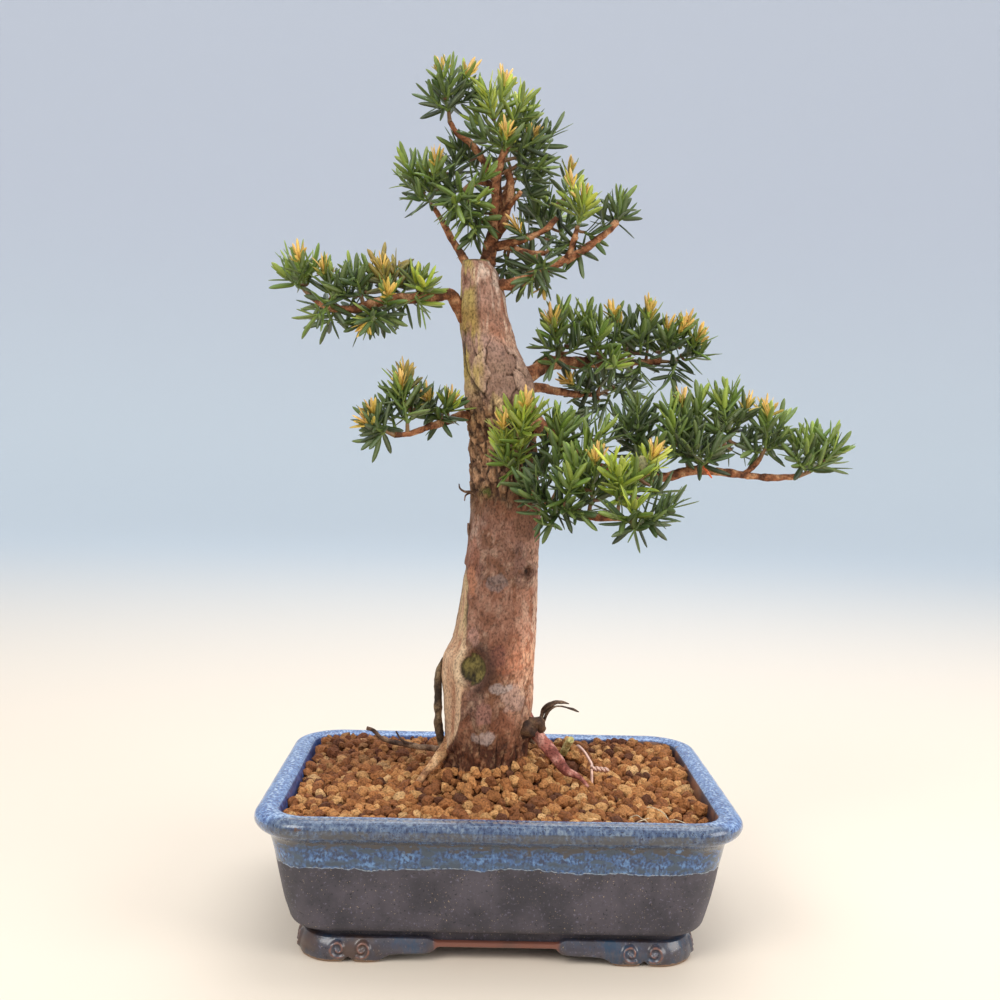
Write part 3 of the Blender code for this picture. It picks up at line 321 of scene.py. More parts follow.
def glaze_finish(name, is_foot):
    """Blue glaze over slate: bands by height, with a wavy edge where the dip ran down."""
    finish, tone = new_finish(name, Coat_Roughness=0.12)
    height = tone.along(2)
    sway = (tone.spots(38, (1, 1, 9), 1.0) - 0.5) * 7 + (tone.spots(4.2, (1, 1, 9), 2.0) - 0.5) * 3.6
    depth = height + sway
    streaks = tone.spots(1.7, (1, 1, 2.6), 5.0)
    clouds = tone.spots(15, (1, 1, 1.3), 3.0)
    specks = tone.spots(0.8, (1, 1, 1), 1.0)
    flecks = tone.spots(1.7, (1, 1, 1), 2.0)

    slate = clouds.between(0.3, 0.72).mix(paint(48, 46, 55), paint(76, 71, 80))
    slate = flecks.between(0.6, 0.76).mix(slate, paint(96, 92, 108))
    slate = specks.between(0.71, 0.77).mix(slate, paint(166, 148, 122))
    slate = (1 - flecks).between(0.62, 0.74).mix(slate, paint(32, 32, 42))
    if is_foot:
        wash = (clouds + streaks * 0.5).between(0.74, 0.95)
        slate = wash.mix(slate, paint(42, 62, 84))
        slate = (1 - clouds).between(0.52, 0.66).mix(slate, paint(76, 58, 52))
        tops = tone.mark("ridge", 2)
        slate = (tops * (flecks + 0.3)).between(0.45, 0.95).mix(slate, paint(124, 84, 70))
        rail = tone.mark("rail", 2) * (clouds + 0.3)
        slate = rail.between(0.4, 0.8).mix(slate, paint(118, 72, 58))
        bare = (1.9 - height + streaks * 2.6).between(1.3, 2.2)
        slate = bare.mix(slate, paint(140, 112, 88))
        slate.feed("Base Color")
        (0.42 - clouds * 0.2 + bare * 0.3).feed("Roughness")
        ((1 - bare) * 0.4).feed("Coat Weight")
        (clouds * 0.6 + flecks * 0.4).bump(0.25, 0.6).feed("Normal")
        return finish

    blue = streaks.between(0.36, 0.64).mix(paint(72, 98, 148), paint(122, 152, 196))
    blue = (streaks * 0.6 + clouds * 0.5).between(0.58, 0.74).mix(blue, paint(156, 180, 208))
    blue = (1 - streaks).between(0.58, 0.7).mix(blue, paint(52, 70, 116))
    blue = specks.between(0.6, 0.68).mix(blue, paint(44, 52, 84))
    face = height.between(72.0, 74.0) * (1 - height.between(78.2, 80.2))
    blue = (face * (clouds * 0.7 + flecks * 0.5)).between(0.5, 0.72).mix(blue, paint(96, 104, 118))
    rust = (tone.spots(9.5, (1, 1, 1), 2.0) + flecks * 0.25).between(0.86, 0.9)
    blue = rust.mix(blue, paint(112, 82, 70))
    crown = height.between(82.0, 82.9)
    blue = (crown * streaks).between(0.5, 0.62).mix(blue, paint(170, 190, 214))
    front = (0 - tone.along(1)).between(86.0, 91.5)
    blue = front.mix(blue, blue.times((0.5, 0.45, 0.4)))
    # Painted highlight: a grey-beige glint along the crest of the lip's front.
    crest = front * crown * flecks
    blue = crest.between(0.3, 0.6).mix(blue, paint(128, 122, 122))

    feather = tone.spots(1.5, (1, 1, 1.4), 5.0)
    rows = tone.spots(6.5, (1, 1, 0.62), 3.0)
    band = feather.between(0.38, 0.6).mix(paint(36, 52, 82), paint(62, 98, 146))
    band = (feather * 0.5 + rows * 0.6).between(0.6, 0.72).mix(band, paint(94, 132, 176))
    band = (1 - rows).between(0.5, 0.62).mix(band, paint(54, 70, 86))
    drips = height + (rows - 0.5) * 22
    band = (drips.between(66, 69) * (1 - drips.between(71.5, 74))).mix(band, paint(66, 64, 66))
    band = (drips.between(56, 57.5) * (1 - drips.between(59, 61)) * 0.6).mix(band, paint(60, 80, 100))
    lip = height.between(71.0, 73.0)
    upper = lip.mix(band, blue)

    glazed = depth.between(54.6, 55.0)
    edge = glazed * (1 - depth.between(55.2, 55.8))
    colour = glazed.mix(slate, upper)
    colour = (edge * (flecks + 0.2)).between(0.45, 0.85).mix(colour, paint(140, 152, 164))
    stain = tone.spots(31, (1, 1, 1), 2.0).between(0.71, 0.78) * (1 - glazed)
    colour = stain.mix(colour, paint(66, 52, 48))
    inside = tone.mark("inside", 2)
    worn = tone.spots(20, (1, 1, 1), 3.0).between(0.45, 0.6)
    raw = worn.mix(paint(60, 50, 58), paint(122, 84, 66))
    right = tone.along(0).between(-10.0, 60.0)
    lining = right.mix(streaks.between(0.4, 0.6).mix(paint(34, 44, 92), paint(66, 92, 150)), raw)
    colour = inside.mix(colour, lining)
    colour.feed("Base Color")
    (0.56 - glazed * 0.3 + (clouds - 0.5) * 0.2 + rust * 0.2 + inside * 0.15).feed("Roughness")
    (glazed * (1 - rust) * (1 - inside) * 0.45 + 0.06).feed("Coat Weight")
    (clouds * 0.4 + streaks * 0.2 + flecks * 0.12 + glazed * 0.4).bump(0.3, 0.7).feed("Normal")
    return finish


levels = corner_cut(POT_LEVELS, 2)
loop = pot_loop(92, 62, 24)
rings = loop_points(loop, *(levels[:, key][:, None] for key in range(3)), levels[:, 3][:, None])
outward = np.stack([loop[:, 2], loop[:, 3], np.zeros(len(loop))], -1)
wobble = 0.35 * lattice_noise(rings, (46, 46, 30)) + 0.12 * lattice_noise(rings, (9, 9, 7), 3)
rings = rings + outward * wobble[..., None]
inside = np.concatenate([np.ones(4 * LEVEL_INSIDE - 4), np.zeros(len(levels))])[:len(levels)]
inside = np.repeat(inside * (levels[:, 3] < 81.2), len(loop))
points, faces = capped_tube(rings)
pot_glaze = glaze_finish("blue_dip_over_slate", False)
pot = add_piece("pot_body", points, faces, pot_glaze, ("pot",),
                {"inside": np.concatenate([inside, (1.0, 0.0)])})
for drain_x in (-DRAIN_X, DRAIN_X):
    turn = np.linspace(0, TAU, DRAIN_SIDES, endpoint=False)
    drill = np.stack([np.stack([drain_x + DRAIN_RADIUS * np.cos(turn), DRAIN_RADIUS * np.sin(turn),
                                np.full(DRAIN_SIDES, height)], -1) for height in DRILL_HEIGHTS])
    points, faces = capped_tube(drill)
    cutter_mesh = bpy.data.meshes.new("drain")
    cutter_mesh.from_pydata(((points + POT_MIDDLE) * METRES).tolist(), [],
                            [face for part in faces for face in part.tolist()])
    cutter = bpy.data.objects.new("drain", cutter_mesh)
    bpy.context.scene.collection.objects.link(cutter)
    cut = pot.modifiers.new("drain", "BOOLEAN")
    cut.operation, cut.object, cut.solver = "DIFFERENCE", cutter, "EXACT"
    bpy.context.view_layer.update()
    holed = bpy.data.meshes.new_from_object(pot.evaluated_get(bpy.context.evaluated_depsgraph_get()))
    pot.modifiers.clear()
    pot.data = holed
    bpy.data.objects.remove(cutter)

# Feet. Four cloud feet on a thin rail, luted under the neck: two low lobes at
# each side of every corner, and two scrolls that curl towards each other above
# the notch between the lobes. The glaze is thin there and worn off at the edge.
FOOT_EDGE = np.array((  # distance from the corner, height of the lower edge
    (-6, 1.2), (-2, 0.2), (2, 0), (20, 0), (22.6, 0.4), (24.6, 1.9), (26, 3.0), (27.4, 1.9), (29.4, 0.4),
    (31.5, 0), (39, 0), (42.5, 0.8), (46, 3.0), (49, 4.3), (54, 4.7), (66, 5.2), (71, 5.6), (72.6, 6.4),
    (73.6, 7.6), (76, 7.9), (130, 7.9)))
RAIL = (106.0, 76.0, 18.0)
SIDE_FOOT_SCALE = 0.68
FOOT_TOP = 12.9
RAIL_TOP = 10.6
FOOT_DEPTH = 9.5
FOOT_SWELL = 2.6
SCROLLS = ((20.6, 7.6, -1), (33.4, 7.6, 1))
SCROLL_RADIUS = 4.9
SCROLL_TURN = 3.1


def scroll_relief(across, up):
    """Ridges along two spirals, each ring nearer its middle by SCROLL_TURN: e to minus distance squared."""
    relief = np.zeros(across.shape)
    for middle, high, hand in SCROLLS:
        away_x, away_z = (across - middle) * hand, up - high
        radius = np.hypot(away_x, away_z)
        turn = (np.arctan2(away_z, away_x) + 2.3) % TAU / TAU
        for ring in (0, 1):
            line = SCROLL_RADIUS - SCROLL_TURN * (turn + ring)
            ridge = np.exp(-((radius - line) / 1.0) ** 2) * ramp(line, 0.0, 1.2)
            relief = np.maximum(relief, ridge)
    return relief


loop = pot_loop(430, 270, 36)
base = loop_points(loop, *RAIL, 0.0)
near_front = np.abs(loop[:, 3]) > np.abs(loop[:, 2])
across = np.where(near_front, RAIL[0] - np.abs(base[:, 0]), (RAIL[1] - np.abs(base[:, 1])) / SIDE_FOOT_SCALE)
edge = np.interp(across, FOOT_EDGE[:, 0], FOOT_EDGE[:, 1])
is_foot = 1 - ramp(across, 68, 74)
outer = np.linspace(0, 1, 30)[:, None]
top = RAIL_TOP + (FOOT_TOP - RAIL_TOP) * is_foot
height = top + (edge + 0.9 - top) * outer
swell = FOOT_SWELL * np.clip(1 - ((height - 5.2) / 8.0) ** 2, 0, 1) * is_foot
lobes = 0.8 * np.exp(-((across - 12) / 9) ** 2) + 0.8 * np.exp(-((across - 36) / 6) ** 2)
relief = scroll_relief(np.broadcast_to(across, height.shape), height) * is_foot
offset = swell + lobes * np.clip(1 - ((height - 4.5) / 7) ** 2, 0, 1) + 1.4 * relief
under = [(offset[-1] - 0.35, edge + 0.3), (offset[-1] - 1.2, edge), (np.full(len(loop), -8.6), edge),
         (np.full(len(loop), -FOOT_DEPTH), edge + 1.0), (np.full(len(loop), -FOOT_DEPTH), top)]
offset = np.concatenate([offset, [row[0] for row in under]])
height = np.concatenate([height, [row[1] for row in under]])
x = base[:, 0] + loop[:, 2] * offset
y = base[:, 1] + loop[:, 3] * offset
skirt = np.stack([x, y, height], -1)
rows, columns = skirt.shape[:2]
ridge = np.concatenate([relief, np.zeros((len(under), columns))])
rail = np.broadcast_to(1 - is_foot, skirt.shape[:2])
foot_glaze = glaze_finish("thin_blue_on_feet", True)
add_piece("cloud_feet", skirt.reshape(-1, 3), [grid_faces(rows, columns, True)], foot_glaze,
          ("pot",), {"ridge": ridge.reshape(-1), "rail": rail.reshape(-1)})

# Drain screens. Black plastic mesh over the two holes in the floor, under the
# soil: the construction's own plates, with a matt finish.
screen_finish, tone = new_finish("matt_black_plastic", Specular_IOR_Level=0.35)
tone.spots(2.0).between(0.2, 0.8).mix(paint(24, 24, 26), paint(44, 44, 46)).feed("Base Color")
(tone.spots(1.2) * 0.2 + 0.55).feed("Roughness")
for name in ("drain_screen_left", "drain_screen_right"):
    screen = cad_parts[name]
    screen.data.materials.clear()
    screen.data.materials.append(screen_finish)

# Soil. Baked-clay grains, ochre to red brown, loose and porous. They fill the
# pot to just under the lip, rise in a low mound round the trunk, and have sunk
# a little in the right front corner.
SOIL_LEVEL = 77.0
MOUND = (-1.0, -4.0, 34.0, 21.5)  # x, y, breadth and height, also of the heap and the dip
HEAP = (42.0, 17.0, 11.0, 21.0)
DIP = (108.0, -74.0, 20.0, 5.0)
BACK_RISE = 4.0
MOUTH = (118.2, 84.2, 16.5)  # half width, half depth, corner radius of the pot's opening
TRUNK_HOLE = (-7.5, 23.0, 22.0)  # middle x, half width, half depth of the part without grains
GRAIN_SPACING = 6.3
UNDER_SPACING = 6.8
GRAIN_SHAPES = 9
GRAIN_CUTS = 10
CLAY = np.array([paint(*shade) for shade in (
    (200, 150, 96), (182, 126, 76), (160, 104, 60), (134, 84, 50), (210, 166, 114), (100, 62, 42))])
CLAY_SHARES = (0.17, 0.25, 0.26, 0.2, 0.05, 0.07)
RED_CLAY = paint(96, 54, 38)
rng = np.random.default_rng(41)


def soil_height(x, y):
    """A level that rises to the back, plus bell-shaped heaps by the trunk, less a dip in one corner."""
    heap = HEAP[3] * np.exp(-((x - HEAP[0]) ** 2 + (y - HEAP[1]) ** 2) / HEAP[2] ** 2)
    mound = MOUND[3] * np.exp(-((x - MOUND[0]) ** 2 + (y - MOUND[1]) ** 2) / MOUND[2] ** 2)
    dip = DIP[3] * np.exp(-((x - DIP[0]) ** 2 + (y - DIP[1]) ** 2) / DIP[2] ** 2)
    return SOIL_LEVEL + BACK_RISE * ramp(y, 0, 70) + np.maximum(mound, heap) - dip


def inside_mouth(x, y, margin):
    """Whether a place lies inside the pot's mouth by this margin."""
    half_x, half_y, radius = MOUTH[0] - margin, MOUTH[1] - margin, MOUTH[2] - margin * 0.5
    corner_x = np.maximum(np.abs(x) - (half_x - radius), 0)
    corner_y = np.maximum(np.abs(y) - (half_y - radius), 0)
    return np.hypot(corner_x, corner_y) < radius


def grain_shapes(count):
    """Ball points cut off by random planes: radius is the least of 1 and plane distance / cosine."""
    builder = bmesh.new()
    bmesh.ops.create_icosphere(builder, subdivisions=2, radius=1.0)
    ball = np.array([vertex.co[:] for vertex in builder.verts])
    triangles = np.array([[vertex.index for vertex in face.verts] for face in builder.faces])
    builder.free()
    shapes = []
    for shape in range(count):
        planes = rng.normal(size=(GRAIN_CUTS, 3))
        planes /= np.linalg.norm(planes, axis=1)[:, None]
        depth = rng.uniform(0.5, 0.88, GRAIN_CUTS)
        cosine = np.maximum(ball @ planes.T, 1e-3)
        radius = np.minimum(1.0, (depth / cosine).min(1)) * rng.uniform(0.88, 1.12, len(ball))
        shapes.append(ball * radius[:, None] * rng.uniform(0.82, 1.12, 3))
    return np.array(shapes), triangles


def random_turns(count):
    """Random rotation matrices, from unit quaternions."""
    w, x, y, z = (rng.normal(size=(count, 4))).T
    size = np.sqrt(w * w + x * x + y * y + z * z)
    w, x, y, z = w / size, x / size, y / size, z / size
    rows = ((1 - 2 * (y * y + z * z), 2 * (x * y - w * z), 2 * (x * z + w * y)),
            (2 * (x * y + w * z), 1 - 2 * (x * x + z * z), 2 * (y * z - w * x)),
            (2 * (x * z - w * y), 2 * (y * z + w * x), 1 - 2 * (x * x + y * y)))
    return np.moveaxis(np.array(rows), -1, 0)


def scatter(spacing, sink):
    """Places on a shaken triangular lattice inside the mouth and outside the trunk, at the soil's height."""
    columns, rows = int(250 / spacing), int(180 / (spacing * 0.866))
    column, row = np.meshgrid(np.arange(columns), np.arange(rows))
    x = (column - columns / 2 + 0.5 * (row % 2)) * spacing + rng.uniform(-0.24, 0.24, column.shape) * spacing
    y = (row - rows / 2) * spacing * 0.866 + rng.uniform(-0.24, 0.24, row.shape) * spacing
    x, y = x.ravel(), y.ravel()
    in_trunk = np.hypot((x - TRUNK_HOLE[0]) / TRUNK_HOLE[1], y / TRUNK_HOLE[2]) < 1
    keep = inside_mouth(x, y, 2.3) & ~in_trunk
    x, y = x[keep], y[keep]
    return np.stack([x, y, soil_height(x, y) - sink + rng.uniform(-0.9, 0.9, len(x))], -1)


def clay_tints(places):
    """A clay for each grain: one of the palette, redder and darker towards the back left."""
    tints = CLAY[rng.choice(len(CLAY), len(places), p=CLAY_SHARES)]
    back_left = ramp(places[:, 1] - places[:, 0] * 0.3, 5, 75) * rng.uniform(0.3, 1.0, len(places))
    tints = tints + (RED_CLAY - tints) * (0.75 * back_left)[:, None]
    return tints * rng.uniform(0.82, 1.1, (len(places), 1))


shapes, triangles = grain_shapes(GRAIN_SHAPES)
clay, tone = new_finish("baked_clay_grains", Specular_IOR_Level=0.25)
pores = tone.spots(1.1, detail=4.0)
dust = tone.spots(2.6, detail=3.0)
shade = (pores.between(0.34, 0.58) * 0.55 + 0.56) + (dust - 0.5) * 0.4
tone.mark("tint").times(shade).feed("Base Color")
(dust * 0.1 + 0.86).feed("Roughness")
(pores * 0.8 + dust * 0.5).bump(0.9, 1.3).feed("Normal")
for name, spacing, sink, size in (("soil_grains", GRAIN_SPACING, 1.2, (2.5, 5.8)),
                                  ("soil_grains_below", UNDER_SPACING, 3.8, (2.8, 4.2))):
    places = scatter(spacing, sink)
    chosen = rng.integers(0, GRAIN_SHAPES, len(places))
    bulk = size[0] + (size[1] - size[0]) * rng.beta(1.6, 2.2, len(places))
    grains = shapes[chosen] @ np.swapaxes(random_turns(len(places)), 1, 2) * bulk[:, None, None]
    points = (grains + places[:, None, :]).reshape(-1, 3)
    faces = triangles[None] + (np.arange(len(places)) * shapes.shape[1])[:, None, None]
    tints = np.repeat(clay_tints(places), shapes.shape[1], axis=0)
    add_piece(name, points, [faces.reshape(-1, 3)], clay, ("soil",), {"tint": tints},
              smooth=False)

bed_levels = np.array(((102.0, 72.0, 13.5, 24.4), (116.2, 82.2, 15.5, 68.5), (117.2, 83.2, 16, 71.5)))
loop = pot_loop(24, 16, 6)
wall = loop_points(loop, *(bed_levels[:, key][:, None] for key in range(3)), bed_levels[:, 3][:, None])
middle = np.array((-8.0, 0.0))
top = []
for share in np.linspace(0.94, 0.06, 16):
    flat = middle + (wall[-1][:, :2] - middle) * share
    top.append(np.concatenate([flat, (soil_height(*flat.T) - 5.0)[:, None]], 1))
points, faces = capped_tube(np.concatenate([wall, np.array(top)]))
tints = np.repeat(paint(96, 56, 32)[None], len(points), axis=0)
add_piece("soil_bed", points, faces, clay, ("soil",), {"tint": tints})

# Trunk. Old yew wood: pinkish brown flaking bark over long flutes, a strip of
# bleached deadwood down the left with a sawn knot at its edge, mauve plates
# under the lowest branch, and a stripped, streaky top that is sawn flat.
TRUNK_RINGS = np.array((  # height, middle x, middle y, half width, half depth
    (60, -8, 0, 22, 21), (78, -8, 0, 25, 23), (92, -7, 0, 24.5, 24), (102, -7.5, 0, 26, 25),
    (114, -7, 0, 27, 26), (128, -6.5, 0, 28, 26), (144, -7.5, 0, 28.5, 26), (154, -7.0, 0, 28, 25.5),
    (163, -4.3, 1, 26, 24), (175, -3, 1, 24.6, 23), (190, -1.7, 1, 23.6, 22), (207, -0.3, 2, 22.2, 21),
    (225, 0.6, 2, 21.2, 20), (246, 0.8, 2, 20.2, 19), (268, -0.7, 2, 19.8, 18.5), (292, -3.2, 1, 20.3, 18.5),
    (310, -4.7, 1, 20.8, 18), (319, -5.6, 1, 20.4, 17.5), (329, -8.6, 0, 18.2, 16.5),
    (342, -12.2, 0, 16.2, 15.5), (356, -15.3, 0, 14.2, 14), (371, -16.8, 0, 12.4, 12.5),
    (384, -19.4, 0, 9.8, 10.4), (387.4, -20.2, 0, 8.6, 9.4)))
DEADWOOD_EDGE = (  # lines down the trunk are rows of height and x: the strip's right edge
    (84, -44), (88, -39.5), (99.7, -30.5), (109.9, -25.4), (121, -22.2), (141.8, -22.7), (149.5, -24.4),
    (160.7, -20.9), (176, -20.4), (195, -20.2), (207, -22.0), (213, -24.6))
LONG_CRACK = ((250, -5.2), (275, -6.3), (295, -8), (312, -9.2))
SEAM = ((306, -12.3), (312, -17.7), (322, -23.8), (332, -26.9), (340, -27.7))
OLIVE_EDGE = ((300, -14), (330, -15), (360, -20), (388, -22))
KNOT = (np.array((-17.3, -20.5, 149.2)), np.array((-0.45, -0.88, 0.12)), 8.2)
RING_KNOT = (np.array((13.6, -16.2, 206.5)), np.array((0.55, -0.83, 0.0)), 2.6)
PATCHES = (  # smooth places where bark came off: x, height, half width, half height, colour
    (-16, 168.5, 3.6, 6.5, (190, 146, 130)), (-17.5, 199, 3.4, 8.5, (180, 122, 92)),
    (-1.5, 157, 5.5, 6.0, (124, 76, 62)), (7, 132, 7.0, 9.0, (190, 156, 140)),
    (-4, 200, 6.0, 5.0, (134, 114, 108)), (11, 232, 6.0, 9.0, (130, 92, 72)),
    (-10, 124, 5.0, 7.0, (156, 110, 98)), (-9, 110, 7.0, 4.0, (182, 160, 150)),
    (0, 139, 7.0, 3.0, (186, 168, 160)))
PATCH_SHADE = 0.75
PATCH_COVER = 0.75
BARK_SHADE = np.array((  # height, red, green, blue, and how much paler the right side is painted, as painted light from the right
    (101, 0.68, 0.5, 0.3, 0.2), (118, 0.52, 0.41, 0.32, 0.4), (136, 0.75, 0.64, 0.54, 0.5),
    (149, 0.5, 0.37, 0.28, 1.3), (160, 0.52, 0.41, 0.32, 1.3), (171, 0.62, 0.56, 0.5, 0.9),
    (188, 0.58, 0.53, 0.47, 0.5), (214, 0.62, 0.51, 0.45, 0.3), (223, 0.69, 0.62, 0.58, 0.3),
    (232, 0.74, 0.74, 0.72, 0.1), (241, 0.64, 0.64, 0.58, 0), (250, 0.5, 0.42, 0.3, 0),
    (259, 0.92, 0.82, 0.76, 0), (294, 1, 0.9, 0.72, 0), (325, 1.02, 0.97, 0.75, 0),
    (341, 1.2, 1.15, 1, 0), (348, 0.8, 0.69, 0.6, 0), (357, 0.68, 0.58, 0.5, 0),
    (364, 0.9, 0.87, 0.84, 0), (381, 0.95, 0.9, 0.84, 0)))


def through(at, stations, values):
    """A smooth curve through values at stations: Hermite cubics whose slopes are central differences."""
    slopes = np.gradient(values, stations, axis=0)
    span = np.clip(np.searchsorted(stations, at) - 1, 0, len(stations) - 2)
    width = (stations[span + 1] - stations[span])[..., None]
    share = np.clip((at - stations[span])[..., None] / width, 0, 1)
    low, high = values[span], values[span + 1]
    cube, square = share ** 3, share ** 2
    return ((2 * cube - 3 * square + 1) * low + (cube - 2 * square + share) * width * slopes[span]
            + (3 * square - 2 * cube) * high + (cube - square) * width * slopes[span + 1])


def line_at(height, line):
    """The x of a line down the trunk: straight between the heights and places of its rows."""
    heights, places = np.array(line, float).T
    return np.interp(height, heights, places)


def blended(low, high, mask):
    """One colour turned into the other where the mask is 1."""
    return low + (high - low) * mask[..., None]


def two_tone(low, high, mask):
    """The low colour all over, turned into the high one where the mask is 1."""
    return blended(np.broadcast_to(paint(*low), (*mask.shape, 3)), paint(*high), mask)


def layered(tints, *layers):
    """Colours laid over the tints in turn: a layer is a colour and the mask where it covers."""
    for colour, mask in layers:
        tints = blended(tints, paint(*colour), mask)
    return tints


heights = np.concatenate([np.linspace(60, 387.4, 330), (387.9, 388.1, 388.2)])
sizes = through(np.minimum(heights, 387.4), TRUNK_RINGS[:, 0], TRUNK_RINGS[:, 1:])
shrink = np.ones(len(heights))
shrink[-3:] = 0.94, 0.66, 0.3
angle = np.linspace(0, TAU, 272, endpoint=False)
side = np.stack([np.cos(angle), np.sin(angle)], -1)
flat = sizes[:, None, :2] + sizes[:, None, 2:] * side * shrink[:, None, None]
trunk = np.concatenate([flat, np.broadcast_to(heights[:, None, None], (*flat.shape[:2], 1))], -1)
normal = side[None] * sizes[:, None, :1:-1]
normal /= np.linalg.norm(normal, axis=-1, keepdims=True)
normal = np.concatenate([normal, np.zeros((*flat.shape[:2], 1))], -1)
x, y, z = np.moveaxis(trunk, -1, 0)

front = 1 - ramp(y, 3.0, 9.0)
waver = 0.9 * lattice_noise(trunk, (5, 5, 6), 5)
within = (line_at(z, DEADWOOD_EDGE) + waver) - x
deadwood = ramp(within, -0.5, 0.6) * front * ramp(z, 86, 92) * (1 - ramp(z, 207, 214))
bare_top = ramp(z + 8 * lattice_noise(trunk, (6, 6, 20), 6), 338, 352)
plate = ramp(z, 296, 312) * (1 - ramp(z + 0.5 * (x + 10), 338, 346)) * (1 - 0.6 * ramp(y, 0, 12))
flaky = ramp(z, 236, 256) * (1 - ramp(z, 298, 312))
foot = 1 - ramp(z, 100, 118)
live = (1 - deadwood) * (1 - bare_top)

bent = trunk + 3.2 * np.stack([rough_noise(trunk, (9, 9, 11), 3, seed) for seed in (31, 32, 33)], -1)
plate_gap, plate_value = flakes(bent, (14, 14, 16), 3)
scale_gap, scale_value = flakes(bent, (5.2, 5.2, 8.5), 4)
peel_gap, peel_value = flakes(bent, (15, 15, 24), 5)
peeled = ramp(peel_value, 0.2, 0.3) * live * (1 - plate) * (1 - flaky) * (1 - foot)
relief = 1.3 * lattice_noise(trunk, (17, 17, 48), 1) * live
flutes = lattice_noise(trunk, (8, 8, 70), 2)
relief += (0.8 - 2.0 * np.abs(flutes)) * live * (0.35 + 0.65 * (1 - plate)) * (0.6 + 0.4 * foot)
roughness = 0.35 + 0.8 * flaky + 1.0 * foot
relief += 0.8 * rough_noise(trunk, (4.2, 4.2, 6.5), 3, 3) * live * roughness * (1 - 0.75 * plate)
relief += (0.9 * plate_value * plate * live + 1.1 * scale_value * flaky * live
           + 0.5 * scale_value * foot * live)
relief -= 0.6 * peeled * ramp(peel_gap, 0.0, 0.05)
crack = (1 - ramp(scale_gap, 0.03, 0.15)) * live * flaky
broken = ramp(rough_noise(trunk, (10, 10, 10), 2, 34), -0.5, 0.1)
crack = np.maximum(crack, (1 - ramp(plate_gap, 0.01, 0.05)) * plate * live * (0.2 + 0.8 * broken))
shed = (1 - ramp(np.abs(peel_gap), 0.01, 0.04)) * live * (1 - plate) * (1 - flaky) * (1 - foot)
slit = 1 - ramp(np.abs(lattice_noise(trunk, (5.5, 5.5, 30), 9)), 0.02, 0.08)
crack = np.maximum(crack, slit * live * (0.15 + 0.75 * foot) * (1 - plate))
long_crack = np.exp(-((x - line_at(z, LONG_CRACK) - waver) / 1.0) ** 2)
long_crack *= ramp(z, 248, 258) * (1 - ramp(z, 304, 314)) * front * (y < 0)
crack = np.maximum(crack, long_crack)
seam = np.exp(-((x - line_at(z, SEAM) - waver) / 0.9) ** 2)
seam *= ramp(z, 304, 307) * (1 - ramp(z, 338, 344)) * front * (y < 0)
crack = np.maximum(crack, seam)
groove = np.exp(-((within - 0.4) / 0.8) ** 2)
crack = np.maximum(crack, groove * ramp(z, 165, 180) * (1 - ramp(z, 204, 212)) * front)
relief -= 1.4 * crack + 0.35 * shed
grain = lattice_noise(trunk, (2.2, 2.2, 60), 15)
shreds = rough_noise(trunk, (3.0, 3.0, 14), 3, 16)
relief += (0.4 * grain + 0.7 * shreds) * np.maximum(bare_top, 0.3 * deadwood)
hollow = np.clip(within / 9.0, 0, 1) * np.clip(1.6 - within / 9.0, 0, 1)
relief -= 2.6 * hollow * deadwood * ramp(z, 88, 104)
lip = np.exp(-((within + 2.0) / 1.9) ** 2) * front * ramp(z, 90, 100) * (1 - ramp(z, 200, 212)) * (y < 4)
relief += 1.7 * lip
relief *= 1 - ramp(z, 380, 386)
trunk = trunk + normal * relief[..., None]


def knot_shape(points, knot, collar, face_depth, spread):
    """Points near a knot's axis moved along it: a sunk disc, then a rounded collar that fades outwards."""
    middle, out, radius = knot
    out = out / np.linalg.norm(out)
    away = points - middle
    along = away @ out
    across = away - along[..., None] * out
    distance = np.linalg.norm(across, axis=-1)
    distance = distance * np.where(across[..., 0] > 0, 0.82, 1.08)
    near = (along > -11) & (along < 14)
    ring = collar * np.exp(-((distance - radius * 1.28) / (radius * 0.3)) ** 2)
    target = ring - face_depth * (1 - ramp(distance, radius * 0.86, radius * 1.06))
    weight = (1 - ramp(distance, radius * 1.5, radius * spread)) * near
    face = (1 - ramp(distance, radius * 0.9, radius * 1.02)) * near
    rim = np.exp(-((distance - radius * 1.3) / (radius * 0.36)) ** 2) * near
    return points + ((target - along) * weight)[..., None] * out, face, rim, distance / radius


trunk, knot_face, knot_rim, knot_ring = knot_shape(trunk, KNOT, 2.0, 0.7, 2.3)
trunk, small_face, small_rim, small_ring = knot_shape(trunk, RING_KNOT, 1.3, 1.2, 2.6)

blotch = rough_noise(trunk, (9, 9, 13), 3, 21)
mottle = rough_noise(trunk, (3.6, 3.6, 5.5), 3, 22)
fleck = rough_noise(trunk, (1.6, 1.6, 2.6), 2, 23)
greyed = rough_noise(trunk, (12, 12, 16), 2, 24)
streaks = rough_noise(trunk, (2.4, 2.4, 20), 3, 25)
patches = rough_noise(trunk, (7, 7, 14), 3, 26)
off_middle = x - sizes[:, None, 0]
# Painted highlight: light falling from the right, painted as a paler band along the trunk's right edge low
# down.
painted_edge_highlight = ramp(off_middle, 13, 22) * (y < 6) * ramp(z, 112, 130) * (1 - ramp(z, 212, 232))
tint = layered(
    two_tone((150, 116, 100), (176, 142, 126), ramp(blotch, -0.2, 0.5)),
    ((128, 104, 100), 0.6 * ramp(greyed, 0.15, 0.6)),
    ((200, 180, 164), 0.55 * ramp(mottle + 0.4 * blotch, 0.3, 0.8)),
    ((118, 82, 58), 0.65 * ramp(-mottle - 0.4 * blotch, 0.15, 0.65)),
    ((206, 184, 166), 0.45 * ramp(fleck, 0.35, 0.8)),
    ((106, 74, 58), 0.45 * ramp(-fleck, 0.35, 0.8)),
    ((168, 112, 92), 0.4 * peeled),
    ((216, 192, 176), 0.6 * painted_edge_highlight * ramp(mottle + fleck, -0.6, 0.3)))
